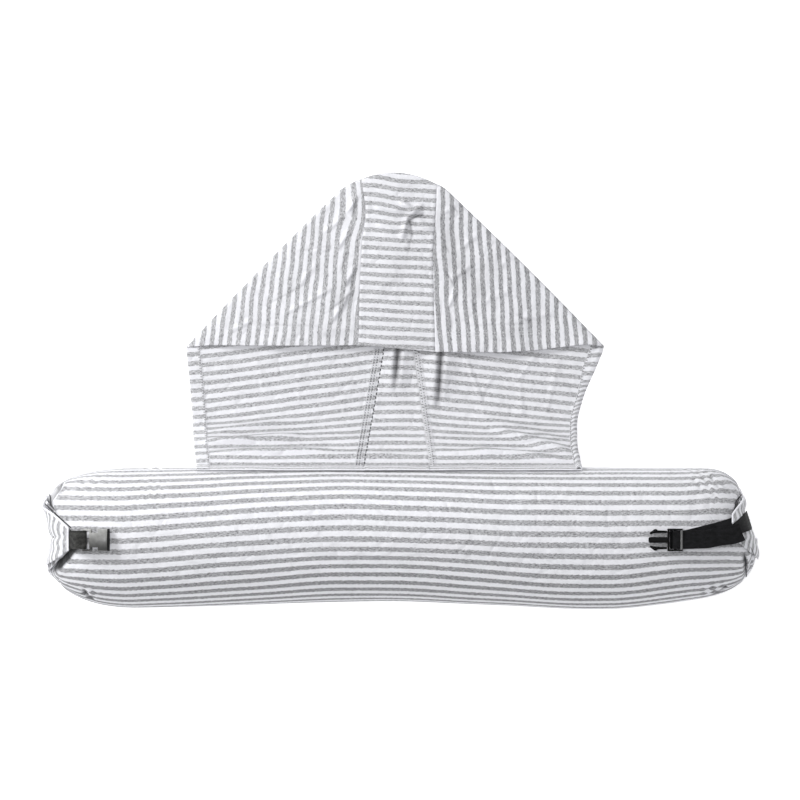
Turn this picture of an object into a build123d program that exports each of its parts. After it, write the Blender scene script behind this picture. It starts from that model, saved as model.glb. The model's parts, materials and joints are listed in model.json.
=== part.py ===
"""Hooded bolster pillow with a buckled webbing strap: a stuffed jersey bolster, a three-panel hood
sewn along its back edge, and a side-release buckle whose halves hang on the bolster's two ends.

Millimetres. +X runs along the bolster, +Y from the bolster towards the hood, +Z up. The origin is the
middle of the flat patch that the bolster rests on.
"""
from build123d import *
import os
from math import cos, radians, sin

# Bolster
half_length = 371.5          # half the bolster's length over its cover
radius = 73.0                # radius of the stuffed roll
axis_height = 64.0           # height of the roll's axis, so it is cut flat where it rests
tip_radius = 52.0            # radius of the rounding next to that flat
shoulder_radius = 100.0      # radius of the longer rounding next to the straight roll
shoulder_turn = 30.0         # degrees that the longer rounding turns
cover_thickness = 1.2
bag_inset, bag_thickness = 3.4, 0.8
filling_inset = 4.4
end_seam_x = 361.0           # where each end panel is sewn to the cover
seam_gap = 0.2

# Zipper in the back of the cover, under the hood
zipper_angle = -20.0         # degrees above the horizontal, seen along the roll
zipper_start, zipper_end = -234.0, 246.0
zipper_slot_half, zipper_slot_low, zipper_slot_high, zipper_slot_spare = 5.2, 67.0, 80.0, 2.0
tape_inner, tape_outer, tape_low, tape_high = 1.7, 4.9, 72.1, 72.7
teeth_inner, teeth_outer, teeth_low, teeth_high = 0.7, 1.6, 71.8, 73.3
slider_x = 234.0
slider_length, slider_half_width = 11.0, 4.0
slider_top, slider_bottom, plate_thickness = 73.7, 70.3, 0.8
post_half_length, post_half_width = 1.5, 0.4
lip_inner, lip_bottom, lip_overlap = 3.4, 72.95, 0.2
bail_bore, bail_height = 0.95, 75.7
bail_half_length, bail_half_width, bail_sunk, bail_over_bore = 2.6, 1.2, 0.4, 1.8
pull_pin_radius, pull_length, pull_half_width, pull_thickness = 0.6, 14.0, 3.2, 1.2
pull_arm_inner, pull_arm_start, pull_arm_end, pull_plate_end = 2.1, -5.5, 0.6, -5.0
finger_hole_radius, finger_hole_from_end = 1.5, 3.4
stop_half_length, stop_half_width, stop_low, stop_high = 1.5, 1.6, 71.6, 73.5
teeth_inset, stop_shift = 3.2, 1.6   # teeth short of the tape's ends; stops clear of the teeth

# Hood
fabric_thickness = 1.2
hood_hinge = (70.9, 89.8)    # y and z of the neck seam's turning line
hood_root_gap = 1.2
hood_bend_y = 112.0          # where the back of the hood reaches the surface
hood_lift = 0.3              # gap under the hood where it lies flat
crown_y = 384.0
fold_y = 200.0               # the side corners, where the face opening starts
front_lift_crown, front_lift_hem = 3.0, 16.0
neck_left, neck_right = -214.0, 191.0
neck_y = 66.0
cheek_left, cheek_right = (-219.0, 130.0), (186.0, 112.0)
corner_left, corner_right = (-226.0, fold_y), (214.0, fold_y)
shoulder_left, shoulder_right = (-64.0, 365.0), (47.0, 366.0)
crown_x = -12.0
back_seam_left = [(-38.5, 60.0), (-38.5, 78.0), (-17.5, fold_y), (-44.0, 400.0)]
back_seam_right = [(30.0, 60.0), (30.0, 78.0), (13.0, fold_y), (36.0, 400.0)]
front_seam_left = [(-44.0, 60.0), (-42.0, 400.0)]
front_seam_right = [(38.0, 60.0), (34.0, 400.0)]
front_hem_left, front_hem_right = 202.0, 195.0

# Straps and side-release buckle
strap_y = -2.1               # middle of the webbing across the bolster
webbing_half = 9.6
webbing_thickness = 1.2
left_tab_low, left_tab_high = 0.5, 3.5
left_tab_tip, left_tab_tip_half = -346.0, 12.8
right_tab_low, right_tab_high = 0.4, 1.8
right_tab_tip, right_tab_tip_half = 340.0, 13.0
tab_root_half, tab_shoulder_x, tab_floor = 43.0, 361.0, 70.0
right_web_low, right_web_high, right_web_floor = 2.2, 3.4, 74.0
right_web_path = [(297.0, -2.1), (337.0, 0.0), (392.0, 32.0)]
left_web_path = [(-356.0, 120.2), (-345.5, 126.4), (-334.5, 137.6)]
bar_radius, loop_inner, loop_outer = 1.5, 1.85, 3.05
rail_gap = 9.9               # half the clear width between a buckle's side rails

socket_x, socket_z, socket_tilt = -317.0, 135.7, 6.0
socket_front, socket_back = 12.0, -8.4
socket_half_width, socket_height, socket_wall = 11.6, 9.0, 1.4
socket_cavity_half, socket_rounding = 9.4, 1.8
socket_arm_low, socket_arm_high = 2.0, 7.0
socket_bar_x, socket_bar_z, socket_arm_end = -14.7, 4.5, -16.2
window_start, window_end, window_depth = -6.5, 0.5, 8.8

plug_x, plug_z = 295.2, 137.6
plug_half_width, plug_height, plug_body_length = 11.8, 7.6, 16.2
plug_rounding, guide_chamfer = 1.2, 1.2
plug_window_end, plug_end_bar, plug_end_bar_bottom = 14.2, 2.4, 5.1
plug_bar_x, plug_bar_z = -7.9, 4.2
guide_length, guide_half_width, guide_low, guide_high = 36.0, 3.0, 1.6, 6.0
arm_low, arm_high = 1.9, 5.7
arm_outline = [
    (-16.6, 7.4), (-16.6, 9.6), (-26.6, 10.0), (-27.4, 11.3), (-29.6, 11.3),
    (-34.6, 7.7), (-34.6, 5.7), (-31.0, 6.7), (-24.0, 7.4),
]
tail_bottom, tail_end_x = 3.6, 342.0

reach = 1000.0               # size of the blocks used to trim solids
hood_trim_low, hood_trim_high = -10.0, 140.0   # heights below and above the whole hood
hood_past_crown, hood_past_fold = 10.0, 20.0   # spare length trimmed off by the hood's outline


def span(x, y, z):
    """A block given by its lowest and highest x, y and z."""
    size = [high - low for low, high in (x, y, z)]
    centre = [(high + low) / 2 for low, high in (x, y, z)]
    return Pos(*centre) * Box(*size)


def prism(points, low, high):
    """An upright prism on a plan outline."""
    face = make_face(Polyline(*points, close=True))
    return Pos(0, 0, low) * extrude(face, high - low, dir=(0, 0, 1))


def bolster(inset):
    """The roll's form taken in by inset all round, or let out where inset is negative."""
    end, roll = half_length - inset, radius - inset
    tip_x = half_length - tip_radius
    shoulder_x = tip_x - (shoulder_radius - tip_radius) * sin(radians(shoulder_turn))
    shoulder_r = radius - shoulder_radius
    tip_r = shoulder_r + (shoulder_radius - tip_radius) * cos(radians(shoulder_turn))
    rest = 90 - shoulder_turn
    with BuildSketch(Plane.XZ) as section:
        with BuildLine():
            Polyline((-end, tip_r), (-end, 0), (end, 0), (end, tip_r))
            CenterArc((tip_x, tip_r), tip_radius - inset, 0, rest)
            CenterArc((shoulder_x, shoulder_r), shoulder_radius - inset, rest, shoulder_turn)
            Line((shoulder_x, roll), (-shoulder_x, roll))
            CenterArc((-shoulder_x, shoulder_r), shoulder_radius - inset, 90, shoulder_turn)
            CenterArc((-tip_x, tip_r), tip_radius - inset, 90 + shoulder_turn, rest)
        make_face()
    form = Pos(0, 0, axis_height) * revolve(section.sketch, Axis.X)
    return form & span((-reach, reach), (-reach, reach), (inset, reach))


def skin(low, high):
    """A layer lying over the bolster, between two heights above its surface."""
    return bolster(-high) - bolster(-low)


# Zipper parts are laid out on a plane whose local z points straight out of the roll.
zipper_plane = Plane(
    origin=(0, 0, axis_height),
    x_dir=(1, 0, 0),
    z_dir=(0, cos(radians(zipper_angle)), sin(radians(zipper_angle))),
)


def on_zipper(shape):
    return Location(zipper_plane) * shape


def mirrored_pair(y, x, z):
    """Two blocks, one each side of the zipper's middle line."""
    return [span(x, y, z), span(x, (-y[1], -y[0]), z)]


def cover():
    """The jersey cover's long panel and its two end panels."""
    shell = bolster(0) - bolster(cover_thickness)
    ends = end_seam_x + seam_gap / 2
    slot = span(
        (zipper_start - zipper_slot_spare, zipper_end + zipper_slot_spare),
        (-zipper_slot_half, zipper_slot_half),
        (zipper_slot_low, zipper_slot_high),
    )
    body = shell & span((-end_seam_x, end_seam_x), (-reach, reach), (-reach, reach))
    left = shell & span((-reach, -ends), (-reach, reach), (-reach, reach))
    right = shell & span((ends, reach), (-reach, reach), (-reach, reach))
    return body - on_zipper(slot), left, right


def zipper_slider():
    """Slider with an outer plate, an inner plate, the post between them and the bail."""
    half = slider_length / 2
    plates = [
        span((-half, half), (-slider_half_width, slider_half_width), (low, low + plate_thickness))
        for low in (slider_top, slider_bottom)
    ]
    post = span(
        (-post_half_length, post_half_length),
        (-post_half_width, post_half_width),
        (slider_bottom, slider_top + plate_thickness),
    )
    lips = mirrored_pair(
        (lip_inner, slider_half_width), (-half, half), (lip_bottom, slider_top + lip_overlap)
    )
    bail = span(
        (-bail_half_length, bail_half_length),
        (-bail_half_width, bail_half_width),
        (slider_top + bail_sunk, bail_height + bail_over_bore),
    )
    bore = Pos(0, 0, bail_height) * Rot(90, 0, 0) * Cylinder(bail_bore, 10)
    body = plates[0] + plates[1] + post + lips[0] + lips[1] + bail - bore
    return on_zipper(Pos(slider_x, 0, 0) * body)


def zipper_pull():
    """Tab on a cross pin through the bail, lying back along the chain."""
    z = (bail_height - pull_thickness / 2, bail_height + pull_thickness / 2)
    pin = Pos(0, 0, bail_height) * Rot(90, 0, 0) * Cylinder(pull_pin_radius, 2 * pull_half_width)
    arms = mirrored_pair((pull_arm_inner, pull_half_width), (pull_arm_start, pull_arm_end), z)
    plate = span((-pull_length, pull_plate_end), (-pull_half_width, pull_half_width), z)
    hole_x = -pull_length + finger_hole_from_end
    finger_hole = Pos(hole_x, 0, bail_height) * Cylinder(finger_hole_radius, 10)
    tab = plate + arms[0] + arms[1] + pin - finger_hole
    return on_zipper(Pos(slider_x, 0, 0) * tab)


def hood_sheet_back():
    """The hood's back layer: up from the surface to the neck seam, seen along X, then extruded."""
    hinge_y, hinge_z = hood_hinge
    run_y, run_z = hood_bend_y - hinge_y, hood_lift - hinge_z
    length = (run_y**2 + run_z**2) ** 0.5
    along_y, along_z = run_y / length, run_z / length
    root_y, root_z = hinge_y + hood_root_gap * along_y, hinge_z + hood_root_gap * along_z

    def at_height(side, z):
        start_z = root_z + side * along_y * fabric_thickness / 2
        start_y = root_y - side * along_z * fabric_thickness / 2
        return start_y + (z - start_z) / along_z * along_y, z

    top, bottom = hood_lift + fabric_thickness, hood_lift
    profile = [
        (root_y + along_z * fabric_thickness / 2, root_z - along_y * fabric_thickness / 2),
        at_height(-1, bottom),
        (crown_y + hood_past_crown, bottom),
        (crown_y + hood_past_crown, top),
        at_height(1, top),
        (root_y - along_z * fabric_thickness / 2, root_z + along_y * fabric_thickness / 2),
    ]
    return extrude_along_x(profile)


def hood_sheet_front():
    """The hood's front layer, folded over at the crown and held a little off the back layer."""
    slope = (front_lift_hem - front_lift_crown) / (crown_y - fold_y)
    near, far = fold_y - hood_past_fold, crown_y + hood_past_crown
    near_z = front_lift_crown + (crown_y - near) * slope
    far_z = front_lift_crown + (crown_y - far) * slope
    profile = [
        (near, near_z), (far, far_z), (far, far_z + fabric_thickness),
        (near, near_z + fabric_thickness),
    ]
    return extrude_along_x(profile)


def extrude_along_x(profile):
    face = make_face(Polyline(*[(0, y, z) for y, z in profile], close=True))
    return Pos(-reach / 2, 0, 0) * extrude(face, reach, dir=(1, 0, 0))


def hood_outline():
    """Plan of the whole hood as it lies folded, as an upright block."""
    crown = ThreePointArc(shoulder_left, (crown_x, crown_y), shoulder_right)
    sides = Polyline(
        shoulder_right, corner_right, cheek_right, (neck_right, neck_y), (neck_left, neck_y),
        cheek_left, corner_left, shoulder_left,
    )
    face = make_face(Wire([crown, *sides.edges()]))
    height = hood_trim_high - hood_trim_low
    return Pos(0, 0, hood_trim_low) * extrude(face, height, dir=(0, 0, 1))


def between(left, right):
    """An upright block between two seam lines given as (x, y) points, from neck to crown."""
    return prism(left + right[::-1], hood_trim_low, hood_trim_high)


def hood_panels():
    """Six panels: left, centre and right, each with a back part and a front part."""
    outline = hood_outline()
    back, front = hood_sheet_back() & outline, hood_sheet_front() & outline
    hem = prism(
        [
            (-reach, fold_y), corner_left, (front_seam_left[0][0], front_hem_left),
            (front_seam_right[0][0], front_hem_right), corner_right, (reach, fold_y),
            (reach, 0), (-reach, 0),
        ],
        hood_trim_low,
        hood_trim_high,
    )
    front = front - hem
    far_left, far_right = [(-400, 60), (-400, 400)], [(400, 60), (400, 400)]
    back_zones = {
        "left": (far_left, back_seam_left),
        "center": (back_seam_left, back_seam_right),
        "right": (back_seam_right, far_right),
    }
    front_zones = {
        "left": (far_left, front_seam_left),
        "center": (front_seam_left, front_seam_right),
        "right": (front_seam_right, far_right),
    }
    panels = {f"hood_{name}_back": back & between(*zone) for name, zone in back_zones.items()}
    panels |= {f"hood_{name}_front": front & between(*zone) for name, zone in front_zones.items()}
    return panels


def tab_zone(tip_x, tip_half):
    """Upright block over a tab: broad at the bolster's end, narrow where the webbing leaves it."""
    side = 1 if tip_x > 0 else -1
    far, shoulder = side * (half_length + 20), side * tab_shoulder_x
    outline = [
        (far, tab_root_half), (shoulder, tab_root_half), (tip_x, strap_y + tip_half),
        (tip_x, strap_y - tip_half), (shoulder, -tab_root_half), (far, -tab_root_half),
    ]
    return prism(outline, tab_floor, 160)


def across(radius_of_rod, length):
    """A rod along Y."""
    return Rot(90, 0, 0) * Cylinder(radius_of_rod, length)


def webbing_loop():
    """Webbing turned once round a buckle's bar."""
    return across(loop_outer, 2 * webbing_half) - across(loop_inner, 2 * webbing_half + 2)


def socket_place():
    return Pos(socket_x, strap_y, socket_z) * Rot(0, -socket_tilt, 0)


def left_webbing():
    """Short doubled webbing from inside the tab to the loop round the socket's bar."""
    face = trace(Polyline(*left_web_path), 2 * webbing_thickness)
    ribbon = extrude(Plane.XZ * face, webbing_half, both=True)
    loop = socket_place() * Pos(socket_bar_x, 0, socket_bar_z) * webbing_loop()
    core = socket_place() * Pos(socket_bar_x, 0, socket_bar_z) * across(loop_inner, 60)
    return Pos(0, strap_y, 0) * ribbon - core + loop


def female_buckle():
    """Side-release socket: a flat box open at its mouth, a window each side and a webbing bar."""
    wall, height = socket_wall, socket_height
    body = span(
        (socket_back, socket_front), (-socket_half_width, socket_half_width), (0, height)
    )
    body = fillet(body.edges().filter_by(Axis.X), socket_rounding)
    cavity = span(
        (socket_back + wall, socket_front + 1),
        (-socket_cavity_half, socket_cavity_half),
        (wall, height - wall),
    )
    arms = mirrored_pair(
        (rail_gap, socket_half_width),
        (socket_arm_end, socket_back + 1),
        (socket_arm_low, socket_arm_high),
    )
    bar = Pos(socket_bar_x, 0, socket_bar_z) * across(bar_radius, 2 * socket_half_width)
    windows = mirrored_pair(
        (window_depth, socket_half_width + 1), (window_start, window_end), (-1, height + 1)
    )
    body = body - cavity - windows[0] - windows[1] + arms[0] + arms[1] + bar
    return socket_place() * body


def right_webbing():
    """Single webbing from the bolster's end, over the tab and the shoulder, towards the plug."""
    strip = trace(Polyline(*right_web_path), 2 * webbing_half)
    zone = Pos(0, 0, right_web_floor) * extrude(strip, 90, dir=(0, 0, 1))
    return skin(right_web_low, right_web_high) & zone


def plug_place():
    return Pos(plug_x, strap_y, plug_z)


def webbing_tail():
    """Free end of the webbing: round the plug's adjusting bar and back over the fixed run."""
    bar = Pos(plug_bar_x, 0, plug_bar_z)
    strip = span(
        (plug_bar_x, tail_end_x - plug_x),
        (-webbing_half, webbing_half),
        (tail_bottom, tail_bottom + webbing_thickness),
    )
    return plug_place() * (strip - bar * across(loop_inner, 60) + bar * webbing_loop())


def male_buckle():
    """Plug body with its adjusting bar, end bar and the guide between the latch arms."""
    width = (-plug_half_width, plug_half_width)
    clear = (-rail_gap, rail_gap)
    body = span((-plug_body_length, 0), width, (0, plug_height))
    body = fillet(body.edges().filter_by(Axis.X), plug_rounding)
    window = span((-plug_window_end, -plug_end_bar), clear, (-1, plug_height + 1))
    under_end_bar = span((-plug_end_bar - 1, 1), clear, (-1, plug_end_bar_bottom))
    guide = span(
        (-guide_length, -plug_body_length + 1),
        (-guide_half_width, guide_half_width),
        (guide_low, guide_high),
    )
    guide = chamfer(guide.faces().sort_by(Axis.X)[0].edges(), guide_chamfer)
    bar = Pos(plug_bar_x, 0, plug_bar_z) * across(bar_radius, 2 * plug_half_width)
    return plug_place() * (body - window - under_end_bar + guide + bar)


def latch_arm(side):
    """One sprung arm with its barb; side is 1 for the arm nearer the hood and -1 for the other."""
    outline = [(x, side * y) for x, y in arm_outline]
    return plug_place() * prism(outline, arm_low, arm_high)


def build():
    """Every piece of the pillow by name."""
    body, left_end, right_end = cover()
    webbing = left_webbing()
    parts = {
        "filling": bolster(filling_inset),
        "inner_bag": bolster(bag_inset) - bolster(bag_inset + bag_thickness),
        "cover_body": body,
        "cover_left_end": left_end,
        "cover_right_end": right_end,
        "zipper_slider": zipper_slider(),
        "zipper_pull": zipper_pull(),
        "left_webbing": webbing,
        "left_tab": skin(left_tab_low, left_tab_high)
        & tab_zone(left_tab_tip, left_tab_tip_half),
        "female_buckle": female_buckle(),
        "right_tab": skin(right_tab_low, right_tab_high)
        & tab_zone(right_tab_tip, right_tab_tip_half),
        "right_webbing": right_webbing(),
        "webbing_tail": webbing_tail(),
        "male_buckle": male_buckle(),
        "latch_arm_back": latch_arm(1),
        "latch_arm_front": latch_arm(-1),
    }
    parts["left_tab"] -= webbing
    run = (zipper_start, zipper_end)
    tapes = mirrored_pair((tape_inner, tape_outer), run, (tape_low, tape_high))
    inner_run = (zipper_start + teeth_inset, zipper_end - teeth_inset)
    teeth = mirrored_pair((teeth_inner, teeth_outer), inner_run, (teeth_low, teeth_high))
    stop = span(
        (-stop_half_length, stop_half_length),
        (-stop_half_width, stop_half_width),
        (stop_low, stop_high),
    )
    stop_places = (inner_run[0] - stop_shift, inner_run[1] + stop_shift)
    stops = [Pos(x, 0, 0) * stop for x in stop_places]
    parts["zipper_tape_upper"] = on_zipper(tapes[1])
    parts["zipper_tape_lower"] = on_zipper(tapes[0])
    parts["zipper_teeth"] = Compound(children=[on_zipper(row) for row in teeth])
    parts["zipper_stops"] = Compound(children=[on_zipper(stop) for stop in stops])
    return parts | hood_panels()


os.makedirs("parts", exist_ok=True)
for name, shape in build().items():
    export_step(shape, f"parts/{name}.step")
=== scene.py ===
import json
import math

import bmesh
import bpy
import numpy as np
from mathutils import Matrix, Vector


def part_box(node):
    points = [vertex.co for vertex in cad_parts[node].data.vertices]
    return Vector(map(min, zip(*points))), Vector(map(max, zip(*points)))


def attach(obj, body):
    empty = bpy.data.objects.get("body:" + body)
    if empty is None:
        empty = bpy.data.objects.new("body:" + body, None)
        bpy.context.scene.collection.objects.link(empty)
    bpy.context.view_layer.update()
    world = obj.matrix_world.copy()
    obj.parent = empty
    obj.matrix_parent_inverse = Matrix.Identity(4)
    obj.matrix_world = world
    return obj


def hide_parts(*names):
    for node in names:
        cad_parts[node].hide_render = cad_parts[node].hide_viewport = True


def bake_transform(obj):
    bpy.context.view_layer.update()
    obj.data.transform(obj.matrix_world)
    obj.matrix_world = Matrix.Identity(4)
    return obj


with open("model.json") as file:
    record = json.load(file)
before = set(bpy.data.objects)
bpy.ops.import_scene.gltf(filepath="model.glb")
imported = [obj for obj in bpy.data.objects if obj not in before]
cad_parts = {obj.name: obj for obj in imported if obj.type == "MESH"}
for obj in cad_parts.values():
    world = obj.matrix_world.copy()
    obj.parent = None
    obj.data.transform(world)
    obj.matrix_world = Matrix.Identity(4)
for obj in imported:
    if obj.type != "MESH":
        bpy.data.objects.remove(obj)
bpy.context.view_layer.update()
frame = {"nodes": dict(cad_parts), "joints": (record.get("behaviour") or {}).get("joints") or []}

MM = 0.001

# ------------------------------------------------------------------ sizes from the frame
ROLL_LOW, ROLL_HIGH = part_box("cover_body")
END_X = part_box("cover_right_end")[1].x          # half the roll's length
SEAM_X = ROLL_HIGH.x                            # where the end panels are sewn on
ROLL_R = (ROLL_HIGH.y - ROLL_LOW.y) / 2
AXIS_Z = ROLL_HIGH.z - ROLL_R
JOINTS = {j["name"]: j for j in frame["joints"]}
NECK = Vector(JOINTS["hood_fold"]["pos_m"])     # the neck seam's turning line
CROWN = Vector(JOINTS["hood_open"]["pos_m"])    # top of the folded hood
STRAP_Y = JOINTS["left_strap_swing"]["pos_m"][1]

STRIPE = 9.5 * MM                               # one grey and one white stripe, unstretched
ROLL_STRETCH = 1.2                              # how far the stuffing stretches the cover round
CLOTH = 1.0 * MM                                # thickness of the jersey


# ------------------------------------------------------------------ small mathematics
def smooth(t):
    t = np.clip(t, 0, 1)
    return t * t * (3 - 2 * t)


def bump(x, middle, width):
    return np.exp(-(((x - middle) / width) ** 2))


def ripple(x, y, seed, size):
    """Gentle uneven waves about `size` long, between about -1 and 1."""
    total = 0
    for k in range(5):
        turn = seed * 1.7 + k * 2.4
        pace = 2 * math.pi / (size * (0.7 + 0.23 * k))
        total = total + np.sin(
            (x * math.cos(turn) + y * math.sin(turn)) * pace + seed * 3.1 + k * 1.3
        )
    return total / 3.2


def crease(x, y, start, end, width):
    """Height of a soft ridge running from start to end, 1 at its middle."""
    ax, ay = start
    dx, dy = end[0] - ax, end[1] - ay
    length = math.hypot(dx, dy)
    along = ((x - ax) * dx + (y - ay) * dy) / length**2
    across = ((x - ax) * dy - (y - ay) * dx) / length
    fade = smooth(along / 0.3) * smooth((1 - along) / 0.3)
    return np.exp(-((across / width) ** 2)) * fade


def creases(x, y, rows):
    """Sum of soft ridges given in millimetres as (start, end, width, height)."""
    return sum(
        high * MM * crease(x, y, (ax * MM, ay * MM), (bx * MM, by * MM), width * MM)
        for (ax, ay), (bx, by), width, high in rows
    )


def unit(vectors):
    """Each row scaled to length 1."""
    return vectors / np.maximum(np.linalg.norm(vectors, axis=-1, keepdims=True), 1e-9)


def distance_along(points):
    return np.concatenate([[0], np.cumsum(np.linalg.norm(np.diff(points, axis=0), axis=1))])


def smooth_path(points, count):
    """Points evenly along a rounded line through the given ones (Catmull-Rom)."""
    p = np.asarray(points, float)
    p = np.vstack([2 * p[0] - p[1], p, 2 * p[-1] - p[-2]])
    out = []
    for k in range(1, len(p) - 2):
        t = np.linspace(0, 1, 24, endpoint=False)[:, None]
        a, b, c, d = p[k - 1], p[k], p[k + 1], p[k + 2]
        square, cube = (2 * a - 5 * b + 4 * c - d) * t**2, (3 * b - a - 3 * c + d) * t**3
        out.append(0.5 * (2 * b + (c - a) * t + square + cube))
    out = np.vstack(out + [p[-2:-1]])
    length = distance_along(out)
    places = np.linspace(0, length[-1], count)
    return np.stack([np.interp(places, length, out[:, k]) for k in range(out.shape[1])], -1)


def unit_grid(rows, columns, low=0):
    """Shares 0 to 1 down a grid's rows and low to 1 along its columns."""
    down, along = np.linspace(0, 1, rows), np.linspace(low, 1, columns)
    return np.meshgrid(down, along, indexing="ij")


# ------------------------------------------------------------------ meshes
def new_object(name, points, faces, corner_uv=None):
    mesh = bpy.data.meshes.new(name)
    mesh.from_pydata([tuple(p) for p in points], [], faces)
    if corner_uv is not None:
        layer = mesh.uv_layers.new(name="cloth")
        layer.data.foreach_set("uv", np.asarray(corner_uv, np.float32).ravel())
    mesh.validate()
    mesh.shade_smooth()
    piece = bpy.data.objects.new(name, mesh)
    bpy.context.scene.collection.objects.link(piece)
    return piece


def grid_faces(rows, columns, wrap=False):
    """Quads of a grid, and each corner's place in a grid with one more column if it wraps."""
    across = columns if wrap else columns - 1
    stored = columns + 1 if wrap else columns
    faces, corners = [], []
    for r in range(rows - 1):
        row, place = r * columns, r * stored
        for c in range(across):
            d = (c + 1) % columns
            faces.append((row + c, row + d, row + columns + d, row + columns + c))
            corners += [place + c, place + c + 1, place + stored + c + 1, place + stored + c]
    return faces, corners


def grid_piece(name, points, uv, wrap=False, gap=None, closed=False):
    """A grid of points (rows, columns, 3) as a mesh, with its place on the cut cloth as UVs.

    gap is how deep in a fold each point lies, from 0 to 1, where hardly any light reaches: painted shade in
    the cloth's colour.
    closed adds a flat face over each end of a wrapped grid.
    """
    rows, columns = points.shape[:2]
    faces, corners = grid_faces(rows, columns, wrap)
    corner_uv = uv.reshape(-1, 2)[corners]
    if closed:
        last = (rows - 1) * columns
        faces += [tuple(range(columns))[::-1], tuple(range(last, last + columns))]
        corner_uv = np.vstack([corner_uv, np.zeros((2 * columns, 2))])
    piece = new_object(name, points.reshape(-1, 3), faces, corner_uv)
    if gap is not None:
        layer = piece.data.attributes.new("gap", "FLOAT", "POINT")
        layer.data.foreach_set("value", np.asarray(gap, np.float32).ravel())
    return piece


def thicken(piece, thickness, offset=0.0):
    solid = piece.modifiers.new("cloth", "SOLIDIFY")
    solid.thickness = thickness
    solid.offset = offset
    apply_modifiers(piece)


def apply_modifiers(piece):
    depsgraph = bpy.context.evaluated_depsgraph_get()
    mesh = bpy.data.meshes.new_from_object(piece.evaluated_get(depsgraph))
    piece.modifiers.clear()
    piece.data = mesh


# ------------------------------------------------------------------ materials
def tinted(colour, share):
    return tuple(share * c for c in colour)


class Recipe:
    """A material in the making: each method adds its nodes and gives their output."""

    def __init__(self, name):
        self.material = bpy.data.materials.new(name)
        self.material.use_nodes = True
        self.tree = self.material.node_tree

    def add(self, kind):
        return self.tree.nodes.new("ShaderNode" + kind)

    def put(self, value, socket):
        """Gives a socket a number, a colour or another node's output."""
        if isinstance(value, bpy.types.NodeSocket):
            self.tree.links.new(value, socket)
        else:
            socket.default_value = (*value, 1) if isinstance(value, tuple) else value

    def math(self, kind, a, b=None):
        node = self.add("Math")
        node.operation = kind
        self.put(a, node.inputs[0])
        if b is not None:
            self.put(b, node.inputs[1])
        return node.outputs[0]

    def wave(self, distance, length):
        return self.math("SINE", self.math("MULTIPLY", distance, 2 * math.pi / length))

    def noise(self, vector, scale, detail=2.0, roughness=0.5):
        node = self.add("TexNoise")
        for name, value in (("Scale", scale), ("Detail", detail), ("Roughness", roughness)):
            node.inputs[name].default_value = value
        self.put(vector, node.inputs["Vector"])
        return node.outputs["Fac"]

    def ramp(self, value, stops):
        """The colour or grey tone of each stop, blended between their places."""
        node = self.add("ValToRGB")
        elements = node.color_ramp.elements
        for k, (place, colour) in enumerate(stops):
            stop = elements[k] if k < 2 else elements.new(place)
            stop.position = place
            stop.color = (*colour, 1) if isinstance(colour, tuple) else (colour, colour, colour, 1)
        self.put(value, node.inputs[0])
        return node.outputs[0]

    def mix(self, factor, a, b, kind="MIX"):
        node = self.add("Mix")
        node.data_type, node.blend_type = "RGBA", kind
        for value, k in ((factor, 0), (a, 6), (b, 7)):
            self.put(value, node.inputs[k])
        return node.outputs[2]

    def times(self, a, b):
        return self.mix(1.0, a, b, "MULTIPLY")

    def cloth(self, stretch=(1, 1, 1)):
        """Place on the cut cloth in metres: x along the stripes, y across them."""
        uv, mapping = self.add("UVMap"), self.add("Mapping")
        uv.uv_map = "cloth"
        mapping.inputs["Scale"].default_value = stretch
        self.put(uv.outputs[0], mapping.inputs[0])
        return mapping.outputs[0]

    def cloth_noise(self, across, along, detail=2.0, roughness=0.5):
        return self.noise(self.cloth((across, along, 1)), 1.0, detail, roughness)

    def split(self, vector):
        node = self.add("SeparateXYZ")
        self.put(vector, node.inputs[0])
        return node.outputs[0], node.outputs[1]

    def place(self):
        return self.add("TexCoord").outputs["Object"]

    def bump(self, height, distance, normal=None, strength=1.0):
        node = self.add("Bump")
        node.inputs["Distance"].default_value = distance
        node.inputs["Strength"].default_value = strength
        self.put(height, node.inputs["Height"])
        if normal is not None:
            self.put(normal, node.inputs["Normal"])
        return node.outputs[0]

    def finish(self, sockets):
        """Gives the shader its values and gives back the finished material."""
        for name, value in sockets.items():
            self.put(value, self.tree.nodes["Principled BSDF"].inputs[name])
        return self.material


WHITE = (0.87, 0.87, 0.905)
PAINTED_FOLD_SHADE = (0.015, 0.015, 0.017)               # painted shade, deep in a fold
WALE, COURSE = 0.9 * MM, 0.7 * MM               # the knit's loops along and across the stripes
# Painted shade and painted light on the roll: how its grey and white change over the 0.2 m of its cloth on
# the side away from the hood, the grey darkened and the white lightened a little
FAR_SIDE_PAINTED_SHADE = [(0.35, 0.66), (0.6, 0.66), (0.78, 0.78), (0.9, 0.93), (1.0, 1.0)]
FAR_SIDE_PAINTED_LIGHT = [(0.62, 0.99), (0.74, 1.055), (0.84, 1.05), (0.95, 1.0)]


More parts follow.
